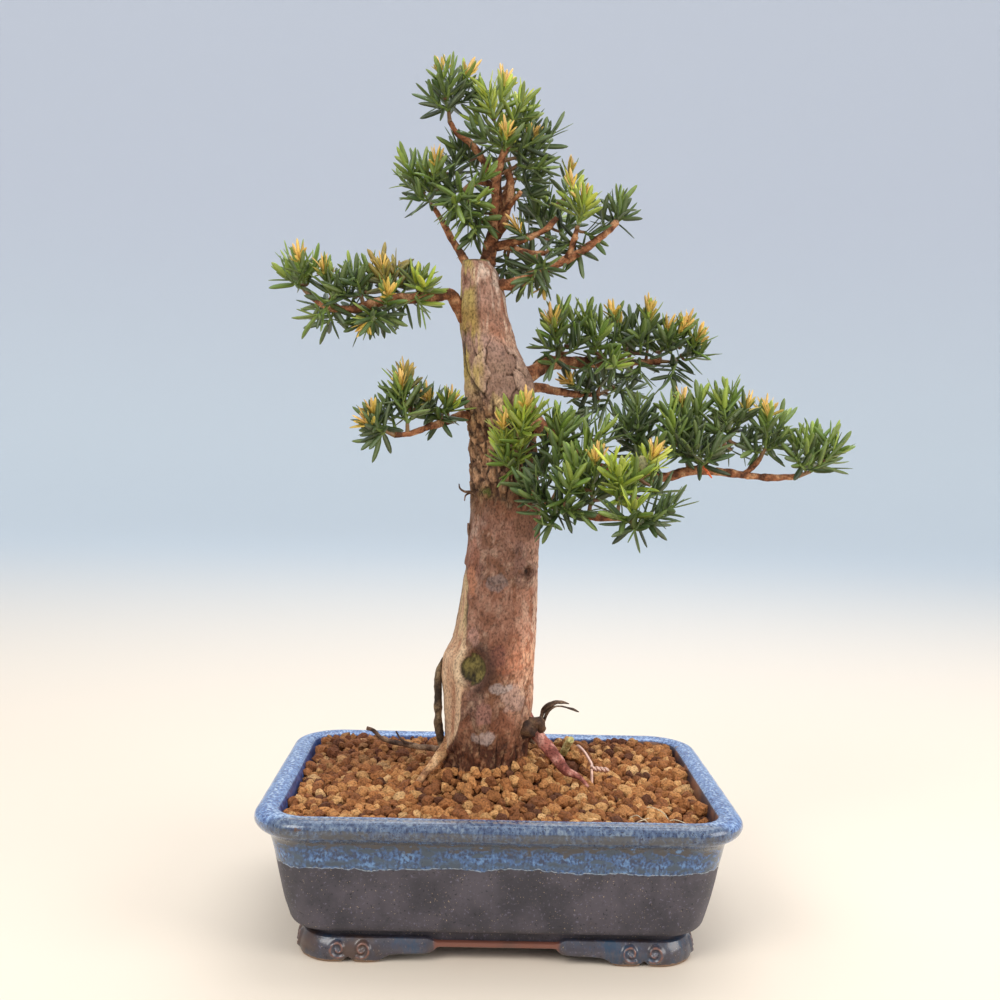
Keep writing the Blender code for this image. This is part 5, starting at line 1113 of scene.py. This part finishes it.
MORE_SHOOTS = {  # colour, foot, tip, and 1 where young growth crowns the shoot
    "crown_top_left": (
        ("bright", (-40, -6, 479), (-37, -14, 495), 0), ("dark", (-37, 0, 479), (-25, 10, 487), 0),
        ("bright", (-36, 2, 484), (-28, 4, 498), 1), ("bright", (-41, -8, 480), (-44, -4, 497), 1)),
    "crown_top": (
        ("lime", (-12, -8, 469), (-18, -16, 486), 0), ("lime", (-2, 0, 468), (6, -4, 486), 0),
        ("bright", (-6, 6, 466), (12, 2, 476), 0), ("bright", (-9, 8, 467), (-26, 0, 471), 0),
        ("lime", (-10, 10, 478), (-6, 14, 497), 1), ("dark", (-7, -14, 452), (-26, -24, 457), 0),
        ("bright", (-6, -16, 449), (-5, -22, 457), 1), ("dark", (-4, -8, 451), (14, -14, 456), 0),
        ("bright", (-15, 0, 475), (-25, 4, 492), 0)),
    "crown_right": (
        ("dark", (4, 8, 450), (27, 6, 469), 0), ("dark", (2, -4, 444), (19, -14, 440), 0),
        ("dark", (2, 0, 437), (18, -4, 436), 0), ("dark", (2, 6, 432), (15, 4, 426), 0),
        ("bright", (7, 10, 456), (11, 4, 462), 1), ("dark", (1, 14, 457), (12, 16, 477), 0)),
    "crown_left": (
        ("bright", (-48, -2, 425), (-45, -14, 443), 1), ("bright", (-50, 4, 429), (-65, -4, 445), 0),
        ("bright", (-52, 6, 429), (-68, 8, 436), 0), ("dark", (-43, 0, 423), (-36, -8, 434), 0),
        ("dark", (-48, -8, 421), (-58, -18, 421), 0), ("bright", (-49, 8, 429), (-56, 14, 449), 0),
        ("dark", (-40, 2, 428), (-34, -2, 446), 0), ("dark", (-36, 6, 440), (-34, 4, 454), 0)),
    "crown_front": (
        ("dark", (-30, -16, 425), (-39, -24, 410), 0), ("dark", (-28, -10, 427), (-25, -18, 407), 0),
        ("bright", (-26, -14, 429), (-13, -26, 434), 0), ("dark", (-26, 6, 448), (-37, 0, 458), 0),
        ("dark", (-20, 8, 440), (-28, 12, 455), 0), ("dark", (-30, -4, 428), (-40, -10, 427), 0),
        ("bright", (-30, -10, 424), (-27, -16, 404), 0), ("dark", (-27, -6, 420), (-20, -14, 400), 0),
        ("dark", (-22, -4, 416), (-14, -12, 408), 0), ("dark", (-20, 0, 412), (-24, 6, 398), 0)),
    "crown_back": (
        ("dark", (-2, 22, 450), (-8, 30, 470), 0), ("dark", (-8, 26, 445), (-21, 34, 452), 0),
        ("dark", (0, 22, 435), (11, 26, 421), 0), ("dark", (-10, 20, 434), (-23, 26, 432), 0)),
    "mid_right_upper": (
        ("dark", (27, 26, 417), (16, 20, 421), 0), ("dark", (21, 20, 412), (11, 14, 423), 0),
        ("bright", (32, 30, 432), (35, 28, 449), 1), ("dark", (30, 24, 411), (40, 22, 421), 0)),
    "mid_right_lower": (
        ("lime", (39, -16, 414), (40, -18, 423), 1), ("dark", (38, -8, 402), (28, -14, 394), 0),
        ("dark", (42, -10, 405), (50, -10, 402), 0), ("dark", (40, -6, 398), (38, -10, 388), 0)),
    "low_right_end": (
        ("dark", (55, -2, 409), (50, -4, 422), 0), ("bright", (60, 2, 414), (64, 0, 429), 0)),
    "under_crown": (
        ("dark", (15, -14, 384), (5, 2, 373), 0), ("dark", (14, -12, 390), (8, 8, 396), 0),
        ("dark", (20, -14, 384), (19, 0, 373), 1), ("dark", (21, -12, 394), (31, 4, 400), 0),
        ("dark", (10, -10, 400), (2, -12, 405), 1), ("dark", (24, 8, 403), (17, 16, 413), 0),
        ("dark", (14, -10, 387), (6, -2, 384), 0), ("dark", (-4, 6, 394), (2, 12, 380), 0),
        ("dark", (-2, 4, 392), (-6, 10, 380), 0)),
    "left_end": (
        ("bright", (-122, -12, 369), (-130, -6, 386), 0), ("bright", (-119, -14, 370), (-121, -26, 383), 1),
        ("bright", (-118, -12, 370), (-114, -8, 385), 0)),
    "left_outer": (
        ("bright", (-104, -16, 364), (-108, -22, 378), 1), ("dark", (-102, -22, 360), (-94, -28, 374), 0),
        ("dark", (-100, -20, 358), (-107, -14, 344), 0), ("dark", (-104, -18, 361), (-115, -10, 357), 0)),
    "left_middle": (
        ("bright", (-87, -14, 367), (-94, -10, 382), 0), ("dark", (-90, -12, 365), (-97, -4, 354), 0),
        ("bright", (-84, -14, 367), (-81, -6, 384), 0), ("dark", (-91, -20, 363), (-97, -30, 365), 0)),
    "left_inner": (
        ("olive", (-70, -12, 369), (-66, -6, 386), 0), ("olive", (-72, -14, 370), (-78, -4, 385), 0),
        ("dark", (-68, -8, 367), (-74, -2, 356), 0), ("dark", (-64, -12, 365), (-58, -4, 378), 0)),
    "left_lime": (
        ("lime", (-53, -16, 367), (-46, -20, 369), 0), ("lime", (-54, -14, 368), (-55, -18, 376), 0),
        ("bright", (-55, -18, 364), (-49, -19, 356), 0), ("dark", (-59, -12, 365), (-64, -8, 354), 0)),
    "left_under": (
        ("bright", (-78, -24, 356), (-82, -30, 346), 1), ("bright", (-72, -22, 358), (-70, -34, 363), 1),
        ("dark", (-75, -20, 355), (-69, -24, 349), 0), ("dark", (-80, -20, 355), (-91, -22, 343), 0)),
    "lower_left_top": (
        ("olive", (-59, -30, 304), (-59, -28, 319), 1), ("dark", (-57, -28, 300), (-67, -36, 306), 0),
        ("dark", (-56, -26, 301), (-52, -29, 310), 0), ("bright", (-58, -34, 303), (-65, -30, 317), 0)),
    "lower_left_inner": (
        ("lime", (-35, -14, 298), (-33, -17, 304), 1), ("dark", (-45, -18, 299), (-47, -26, 305), 1),
        ("dark", (-38, -14, 297), (-40, -21, 291), 0)),
    "lower_left_end": (
        ("dark", (-69, -38, 288), (-80, -35, 294), 0), ("dark", (-72, -36, 287), (-76, -44, 296), 1),
        ("dark", (-64, -32, 288), (-68, -26, 303), 0)),
    "right_upper_1": (
        ("bright", (29, 14, 341), (25, 4, 355), 1), ("dark", (31, 10, 338), (18, 0, 340), 0),
        ("dark", (31, 14, 335), (24, 4, 327), 0), ("bright", (41, 18, 342), (39, 24, 363), 0),
        ("dark", (37, 14, 337), (45, 4, 344), 0), ("bright", (30, 16, 343), (32, 14, 365), 0)),
    "right_upper_2": (
        ("bright", (51, 24, 340), (47, 24, 365), 0), ("bright", (57, 26, 340), (57, 30, 361), 0),
        ("dark", (54, 20, 335), (44, 12, 324), 0), ("dark", (60, 24, 339), (68, 14, 345), 0),
        ("bright", (63, 10, 333), (64, -6, 326), 0), ("bright", (53, 16, 338), (54, 6, 350), 0)),
    "right_upper_3": (
        ("bright", (73, 30, 341), (64, 28, 363), 1), ("dark", (79, 32, 340), (77, 36, 363), 0),
        ("bright", (87, 32, 341), (87, 28, 366), 1), ("dark", (82, 30, 336), (82, 24, 323), 0),
        ("dark", (77, 36, 338), (75, 50, 355), 0), ("dark", (82, 26, 339), (80, 14, 352), 0),
        ("dark", (78, 36, 330), (72, 40, 316), 0)),
    "right_upper_4": (
        ("bright", (97, 34, 342), (99, 30, 356), 1), ("dark", (93, 38, 341), (87, 46, 352), 0),
        ("bright", (108, 34, 343), (110, 30, 358), 1), ("dark", (101, 30, 340), (96, 18, 348), 0)),
    "right_upper_end": (
        ("bright", (114, 34, 341), (118, 26, 350), 1), ("dark", (111, 34, 336), (124, 28, 341), 0),
        ("dark", (106, 34, 335), (99, 30, 319), 0)),
    "right_back": (
        ("dark", (60, 50, 318), (50, 44, 326), 0), ("dark", (53, 44, 315), (39, 34, 320), 1),
        ("dark", (67, 54, 314), (62, 60, 301), 0), ("dark", (60, 50, 310), (47, 50, 300), 0),
        ("dark", (71, 60, 319), (86, 62, 317), 0), ("dark", (60, 48, 320), (44, 46, 313), 0)),
    "right_long_1": (
        ("dark", (77, -20, 276), (73, -28, 309), 0), ("dark", (77, -18, 279), (88, -10, 300), 0),
        ("dark", (77, -16, 273), (68, -6, 291), 0), ("dark", (77, -20, 279), (64, -24, 299), 0),
        ("dark", (78, -24, 272), (87, -32, 285), 0), ("dark", (77, -12, 285), (73, -6, 306), 0)),
    "right_long_2": (
        ("dark", (103, -20, 277), (101, -20, 308), 1), ("bright", (97, -24, 283), (92, -22, 308), 0),
        ("dark", (107, -16, 280), (97, -8, 286), 0), ("bright", (111, -14, 286), (111, -16, 313), 0),
        ("dark", (102, -24, 277), (91, -34, 280), 0)),
    "right_long_3": (
        ("dark", (112, -24, 272), (103, -36, 282), 0), ("dark", (112, -24, 272), (123, -20, 286), 0),
        ("dark", (113, -16, 274), (119, 0, 286), 0), ("dark", (112, -20, 276), (109, -26, 290), 0)),
    "right_long_4": (
        ("bright", (129, -16, 292), (121, -12, 315), 0), ("bright", (130, -14, 292), (131, -10, 319), 0),
        ("dark", (129, -14, 288), (118, -22, 295), 0), ("dark", (134, -10, 291), (140, -14, 306), 1),
        ("dark", (135, -14, 284), (147, -8, 287), 0), ("dark", (132, -12, 281), (127, -4, 279), 0)),
    "right_long_5": (
        ("bright", (151, -12, 284), (152, -4, 304), 1), ("dark", (153, -10, 281), (162, -18, 287), 0),
        ("dark", (149, -12, 280), (140, -20, 281), 0), ("bright", (155, -8, 284), (166, 2, 302), 0)),
    "right_long_end": (
        ("bright", (174, -10, 270), (168, -14, 291), 0), ("bright", (181, -6, 273), (184, 4, 294), 0),
        ("bright", (189, -6, 275), (191, -10, 293), 0), ("bright", (187, -6, 270), (201, 0, 288), 0),
        ("dark", (177, -10, 270), (166, -22, 279), 0)),
    "front_low_1": (
        ("lime", (-1, -28, 276), (-3, -38, 292), 1), ("lime", (4, -36, 283), (3, -42, 304), 0),
        ("lime", (7, -38, 283), (16, -44, 303), 0), ("bright", (5, -24, 266), (-5, -36, 273), 0),
        ("dark", (8, -20, 260), (22, -28, 271), 0), ("lime", (7, -38, 282), (9, -52, 303), 1)),
    "front_low_2": (
        ("bright", (29, -28, 278), (39, -22, 296), 0), ("dark", (28, -30, 267), (19, -24, 283), 0),
        ("bright", (33, -26, 281), (22, -34, 299), 0), ("bright", (41, -34, 276), (57, -40, 293), 0),
        ("dark", (28, -30, 261), (15, -44, 267), 0), ("dark", (53, -24, 282), (66, -20, 289), 0),
        ("dark", (39, -16, 284), (49, -6, 296), 0), ("dark", (36, -24, 267), (49, -20, 276), 0)),
    "front_low_3": (
        ("dark", (24, -50, 250), (9, -62, 253), 0), ("dark", (26, -54, 248), (15, -66, 242), 0),
        ("dark", (29, -58, 248), (44, -74, 244), 0), ("bright", (31, -60, 251), (35, -74, 265), 0),
        ("dark", (23, -44, 251), (4, -52, 260), 0)),
    "front_low_4": (
        ("bright", (46, -54, 254), (41, -60, 275), 0), ("dark", (46, -52, 248), (57, -40, 262), 0),
        ("dark", (43, -54, 251), (28, -60, 262), 0), ("dark", (52, -48, 251), (66, -40, 262), 0),
        ("bright", (46, -60, 257), (47, -66, 274), 1)),
    "front_low_5": (
        ("lime", (59, -66, 252), (54, -76, 275), 0), ("bright", (62, -60, 252), (70, -66, 270), 0),
        ("lime", (78, -58, 260), (80, -56, 277), 1), ("dark", (73, -54, 252), (89, -50, 259), 0),
        ("dark", (68, -50, 251), (75, -36, 265), 0)),
    "front_low_end": (
        ("dark", (71, -70, 242), (92, -80, 253), 0), ("dark", (71, -72, 241), (89, -64, 247), 0),
        ("dark", (68, -72, 241), (53, -84, 245), 0), ("lime", (66, -76, 243), (65, -84, 253), 0)),
}
GREENS = {  # old needles, needles of last year, young needles
    "dark": ((30, 42, 24), (58, 80, 38), (112, 130, 62)),
    "bright": ((42, 62, 28), (94, 122, 46), (156, 172, 72)),
    "lime": ((72, 100, 34), (142, 164, 52), (198, 202, 80)),
    "olive": ((78, 84, 38), (136, 126, 56), (194, 158, 84)),
    "golden": ((150, 152, 62), (210, 178, 78), (228, 186, 110)),
}
# Grey-green for the paler underside of the needles, and also a painted grey sheen, strongest on old needles.
UNDERSIDE_AND_SHEEN = paint(118, 130, 100)
NEEDLE_STATIONS = np.array((0.0, 0.06, 0.2, 0.5, 0.78, 0.93))
NEEDLE_BREADTHS = np.array((0.36, 0.72, 0.95, 1.0, 0.84, 0.46))
GREEN_NEEDLES = ((80, 26), (16.8, 13.8), 3.2, 1.5, 0.3)  # lean in degrees and length, both from a
GOLDEN_NEEDLES = ((58, 14), (7.5, 11.0), 2.1, 0.36, 0.1)  # shoot's foot to its tip; width, step, age
NEEDLE_ROLL = 0.75
NEEDLE_STALK = 0.6
TIP_SETBACK = 3.5
GOLDEN_ANGLE = math.radians(137.5)
STEM_RADIUS = 1.05


def needle_bodies(roots, headings, faces_to, lengths, widths, bends, sways):
    """Diamond sections and a point on the curve root + s L heading + s squared L (bend up + sway across)."""
    heading = headings / np.linalg.norm(headings, axis=1)[:, None]
    up = faces_to - heading * (faces_to * heading).sum(1)[:, None]
    up /= np.linalg.norm(up, axis=1)[:, None]
    across = np.cross(heading, up)
    along = np.append(NEEDLE_STATIONS, 1.0)[None, :, None]
    curl = up * (bends * lengths)[:, None] + across * (sways * lengths)[:, None]
    line = roots[:, None] + heading[:, None] * (lengths[:, None, None] * along) + curl[:, None] * along ** 2
    half = (NEEDLE_BREADTHS[None] * widths[:, None] / 2)[..., None]
    body, tip = line[:, :-1], line[:, -1:]
    left = body - across[:, None] * half
    right = body + across[:, None] * half
    crest = body + up[:, None] * half * 0.34
    keel = body - up[:, None] * half * 0.16
    sections = np.stack([left, keel, right, crest], 2).reshape(len(roots), -1, 3)
    points = np.concatenate([sections, tip], 1)
    count = points.shape[1]
    stations = len(NEEDLE_STATIONS)
    quads = np.concatenate([grid_faces(stations, 4), [[3, 2, 1, 0]]])
    fan = fan_faces(count - 1, (stations - 1) * 4, 4, True)
    shift = (np.arange(len(roots)) * count)[:, None, None]
    return points, (quads[None] + shift).reshape(-1, 4), (fan[None] + shift).reshape(-1, 3)


def needle_tints(colour, ages):
    """Old to young by age, then paler edges, foot and point, and a greyish underside on old needles that is
    partly a painted grey sheen.
    """
    old, middle, young = (paint(*shade) for shade in GREENS[colour])
    tints = blended(np.broadcast_to(old, (len(ages), 3)), middle, ramp(ages, 0.0, 0.5))
    tints = blended(tints, young, ramp(ages, 0.45, 1.0))
    tints = (tints * rng.uniform(0.68, 1.3, (len(ages), 1)))[:, None]
    along = np.append(np.repeat(NEEDLE_STATIONS, 4), 1.0)
    edge = np.append(np.tile((1.0, 0.2, 1.0, 0.0), len(NEEDLE_STATIONS)), 0.6)
    pale = 0.2 * edge + 0.3 * (1 - ramp(along, 0.0, 0.25)) + 0.12 * ramp(along, 0.85, 1.0)
    tints = tints + (young * 1.1 - tints) * pale[None, :, None]
    keel = np.append(np.tile((0.0, 1.0, 0.0, 0.0), len(NEEDLE_STATIONS)), 0.0)
    under = 0.0 if colour == "golden" else 0.65
    return tints + (UNDERSIDE_AND_SHEEN - tints) * (under * keel[None] * (1 - 0.6 * ages[:, None]))[..., None]


def nearest_on(lines, place):
    """The point nearest to a place on a set of straight spans, each a start and an end."""
    starts, ends = lines
    spans = ends - starts
    share = np.clip(((place - starts) * spans).sum(1) / (spans * spans).sum(1), 0, 1)[:, None]
    near = starts + spans * share
    return near[np.argmin(np.linalg.norm(near - place, axis=1))]


def add_needles(heap, colour, path, kind, lift):
    """Needles in a spiral up a shoot: they lean out from its axis, less to the tip, and lift skywards."""
    lean, lengths, width, step, old_share = kind
    spans = np.linalg.norm(np.diff(path, axis=0), axis=1)
    stations = np.concatenate([[0], np.cumsum(spans)])
    count = max(10, int(stations[-1] / step))
    share = ((np.arange(count) + rng.uniform(0.2, 0.8, count)) / count) ** 0.75
    roots = through(share * stations[-1], stations, path)
    ahead = through(np.minimum(share + 0.05, 1) * stations[-1], stations, path)
    behind = through(np.maximum(share - 0.05, 0) * stations[-1], stations, path)
    axis = ahead - behind
    axis /= np.linalg.norm(axis, axis=1)[:, None]
    pole = np.eye(3)[np.argmin(np.abs(path[-1] - path[0]))]
    first = np.cross(axis, pole)
    first /= np.linalg.norm(first, axis=1)[:, None]
    second = np.cross(axis, first)
    turn = np.arange(count) * GOLDEN_ANGLE + rng.uniform(0, TAU) + rng.normal(0, 0.22, count)
    out = first * np.cos(turn)[:, None] + second * np.sin(turn)[:, None]
    leaning = np.radians(lean[0] + (lean[1] - lean[0]) * share + rng.normal(0, 8, count))
    heading = axis * np.cos(leaning)[:, None] + out * np.sin(leaning)[:, None]
    heading = heading + np.array((0, 0, lift)) + rng.normal(0, 0.08, (count, 3))
    length = (lengths[0] + (lengths[1] - lengths[0]) * share) * rng.uniform(0.78, 1.08, count)
    breadth = width * rng.uniform(0.85, 1.08, count)
    facing = axis + rng.normal(0, NEEDLE_ROLL, (count, 3))
    bend = rng.normal(0.02, 0.08, count)
    sway = rng.normal(0, 0.07, count)
    points, quads, fans = needle_bodies(roots + out * NEEDLE_STALK, heading, facing, length, breadth,
                                        bend, sway)
    ages = np.clip(share * (1 - old_share) + rng.normal(0.02, 0.16, count), 0, 1)
    heap.add(points.reshape(-1, 3), [quads, fans], needle_tints(colour, ages).reshape(-1, 3))


def add_young_growth(heap, tip, heading):
    """A loose star of short golden needles on a stub of this year's stem."""
    path = smooth_path((tip, tip + heading * 1.8, tip + heading * 3.6), 1.0)[0]
    heap.add(*capped_tube(rough_tube(path, (1.1, 0.6), 8, 1.0, 0.05, 170)), paint(190, 170, 80))
    add_needles(heap, "golden", path, GOLDEN_NEEDLES, 0.1)


def needle_finish(colour):
    """Leathery needle: the mesh's own greens, faintly mottled, with a low waxy gloss."""
    finish, tone = new_finish(colour + "_yew_needles", Coat_Weight=0.25, Coat_Roughness=0.3,
                              Specular_IOR_Level=0.4)
    mottle = tone.spots(2.2, detail=3.0)
    tone.mark("tint").times(mottle * 0.5 + 0.76).feed("Base Color")
    (mottle * 0.2 + 0.38).feed("Roughness")
    tone.spots(0.9).bump(0.15, 0.3).feed("Normal")
    return finish


needle_finishes = {colour: needle_finish(colour) for colour in GREENS}
wood_lines = (np.concatenate([np.array(points[:-1], float) for points, _, _ in BRANCHES.values()]),
              np.concatenate([np.array(points[1:], float) for points, _, _ in BRANCHES.values()]))
more_young = Heap()
shoot_ends = {}
for name, (colour, fork, tips) in SPRAYS.items():
    fork = np.array(fork, float)
    start = nearest_on(wood_lines, fork)
    heap = Heap()
    foot = rough_tube((start, start + (fork - start) * 0.5, fork), (1.5, STEM_RADIUS), 8, 1.5, 0.12, 150)
    heap.add(*capped_tube(foot), paint(124, 92, 56))
    own_lines = (np.stack([start] + [fork] * len(tips)), np.stack([fork] + [np.array(tip) for tip in tips]))
    own_lines = tuple(np.concatenate([one, other]) for one, other in zip(wood_lines, own_lines))
    shoots = [(colour, fork, np.array(tip, float), 2) for tip in tips]
    shoots += [(shade, np.array(base, float), np.array(tip, float), young)
               for shade, base, tip, young in MORE_SHOOTS.get(name, ())]
    for number, (shade, base, tip, young) in enumerate(shoots):
        if number >= len(tips):
            near = nearest_on(own_lines, base)
            if np.linalg.norm(base - near) > 1.5:
                sag = (near + base) / 2 - (0, 0, 0.6)
                twig = rough_tube((near, sag, base), (1.2, 0.9), 8, 1.5, 0.12, 155)
                heap.add(*capped_tube(twig), paint(120, 86, 56))
        reach = np.linalg.norm(tip - base)
        tip = tip + (base - tip) * TIP_SETBACK / reach
        middle = (base + tip) / 2 + np.array((0, 0, -0.06)) * reach
        path = smooth_path((base, middle, tip), 2.0)[0]
        heap.add(*capped_tube(rough_tube(path, (STEM_RADIUS, 0.7), 8, 2.0, 0.06, 160)), paint(104, 124, 56))
        upright = max((tip - base)[2] / reach, 0)
        lift = (0.18 if shade == "dark" else 0.32) - 0.16 * upright
        add_needles(heap, shade, path, GREEN_NEEDLES, lift)
        heading = (tip - middle) / np.linalg.norm(tip - middle)
        if young == 1:
            add_young_growth(more_young, tip, heading)
        if young == 2:
            shoot_ends[name, number] = (tip, heading)
    heap.piece("needles_" + name, needle_finishes[colour], colour + "_needles", (name,))
more_young.piece("more_young_growth", needle_finishes["golden"], "golden_needles")

# Golden rosettes. This year's growth, a loose crown of short upright needles on
# top of a green shoot, yellow with orange points.
ROSETTES = (
    ("crown_top", 2), ("crown_left", 0), ("mid_right_lower", 0), ("left_end", 0), ("left_outer", 0),
    ("left_inner", 0), ("left_inner", 1), ("lower_left_top", 0), ("lower_left_end", 0),
    ("right_upper_1", 0), ("right_upper_3", 0), ("right_upper_3", 1), ("right_upper_4", 1),
    ("right_upper_end", 0), ("right_long_5", 0), ("front_low_4", 1), ("front_low_5", 1),
)
for host, shoot in ROSETTES:
    heap = Heap()
    add_young_growth(heap, *shoot_ends[host, shoot])
    heap.piece("young_" + host + "_" + str(shoot + 1), needle_finishes["golden"], "golden_needles",
               (host + "_tip_" + str(shoot + 1),))

# Floor, soft lights and the camera at the photograph's place.
SWEEP = np.array((  # radius and height of the studio floor's profile in metres, which curves up at its edge
    (0.4, 0.0), (1.6, 0.0), (2.6, 0.0), (3.1, 0.05), (3.5, 0.2), (3.8, 0.5), (3.95, 0.9), (4.0, 1.4),
    (4.0, 2.2)))
SWEEP_SIDES = 96
sweep = corner_cut(SWEEP, 3)
turn = np.linspace(0, TAU, SWEEP_SIDES, endpoint=False)
sweep_rings = np.stack([sweep[:, :1] * np.cos(turn), sweep[:, :1] * np.sin(turn),
                        np.broadcast_to(sweep[:, 1:], (len(sweep), SWEEP_SIDES))], -1)
floor_faces = (grid_faces(len(sweep), SWEEP_SIDES)[:, ::-1] + 1).tolist()
floor_faces += fan_faces(0, 1, SWEEP_SIDES, True).tolist()
floor_mesh = bpy.data.meshes.new("floor")
floor_mesh.from_pydata([(0, 0, 0)] + sweep_rings.reshape(-1, 3).tolist(), [], floor_faces)
floor_mesh.polygons.foreach_set("use_smooth", [True] * len(floor_mesh.polygons))
floor = bpy.data.objects.new("floor", floor_mesh)
bpy.context.scene.collection.objects.link(floor)
floor_finish, tone = new_finish("pale_floor", Roughness=0.8)
away = tone.along(1).between(200.0, 2400.0)
rise = tone.along(2).between(100.0, 1300.0)
ground = away.mix(paint(226, 212, 194), paint(218, 226, 230))
rise.mix(ground, paint(216, 220, 228)).feed("Base Color")
floor_mesh.materials.append(floor_finish)
floor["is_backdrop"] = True

bpy.context.scene.view_settings.view_transform = "Standard"
world = bpy.data.worlds.new("studio")
bpy.context.scene.world = world
world.use_nodes = True
world.node_tree.nodes["Background"].inputs["Color"].default_value = (0.87, 0.92, 1.0, 1.0)
world.node_tree.nodes["Background"].inputs["Strength"].default_value = 0.95
LIGHTS = {  # place, size, power, colour
    "key": ((-0.95, -1.15, 1.35), 0.9, 17.0, (1.0, 0.98, 0.93)),
    "fill": ((1.3, -0.7, 0.8), 1.0, 14.0, (1.0, 0.98, 0.95)),
    "top": ((0.2, 0.5, 1.6), 1.2, 12.0, (1.0, 1.0, 1.0)),
}
for name, (place, size, power, colour) in LIGHTS.items():
    lamp = bpy.data.lights.new(name, "AREA")
    lamp.size, lamp.energy, lamp.color = size, power, colour
    light = bpy.data.objects.new(name, lamp)
    bpy.context.scene.collection.objects.link(light)
    light.location = place
    aim = Matrix.Translation(place).inverted() @ Matrix.Translation((0, 0, 0.24))
    light.rotation_euler = aim.translation.to_track_quat("-Z", "Y").to_euler()

CAMERA_PLACE = (-0.05094, -0.68013, 0.28136)
YAW, PITCH, ROLL = 0.02177, 0.05011, 0.02644
forward = np.array((math.sin(YAW) * math.cos(PITCH), math.cos(YAW) * math.cos(PITCH), -math.sin(PITCH)))
level_right = np.array((math.cos(YAW), -math.sin(YAW), 0.0))
level_up = np.cross(level_right, forward)
right = math.cos(ROLL) * level_right + math.sin(ROLL) * level_up
up = -math.sin(ROLL) * level_right + math.cos(ROLL) * level_up
lens = bpy.data.cameras.new("camera")
lens.sensor_width, lens.lens = 36.0, 41.1733
lens.clip_start, lens.clip_end = 0.02, 50.0
camera = bpy.data.objects.new("camera", lens)
bpy.context.scene.collection.objects.link(camera)
turned = Matrix((right.tolist(), up.tolist(), (-forward).tolist())).transposed().to_4x4()
camera.matrix_world = Matrix.Translation(CAMERA_PLACE) @ turned
bpy.context.scene.camera = camera

sizes = {"cad": cad_box, "visual": [list(corner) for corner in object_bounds()]}
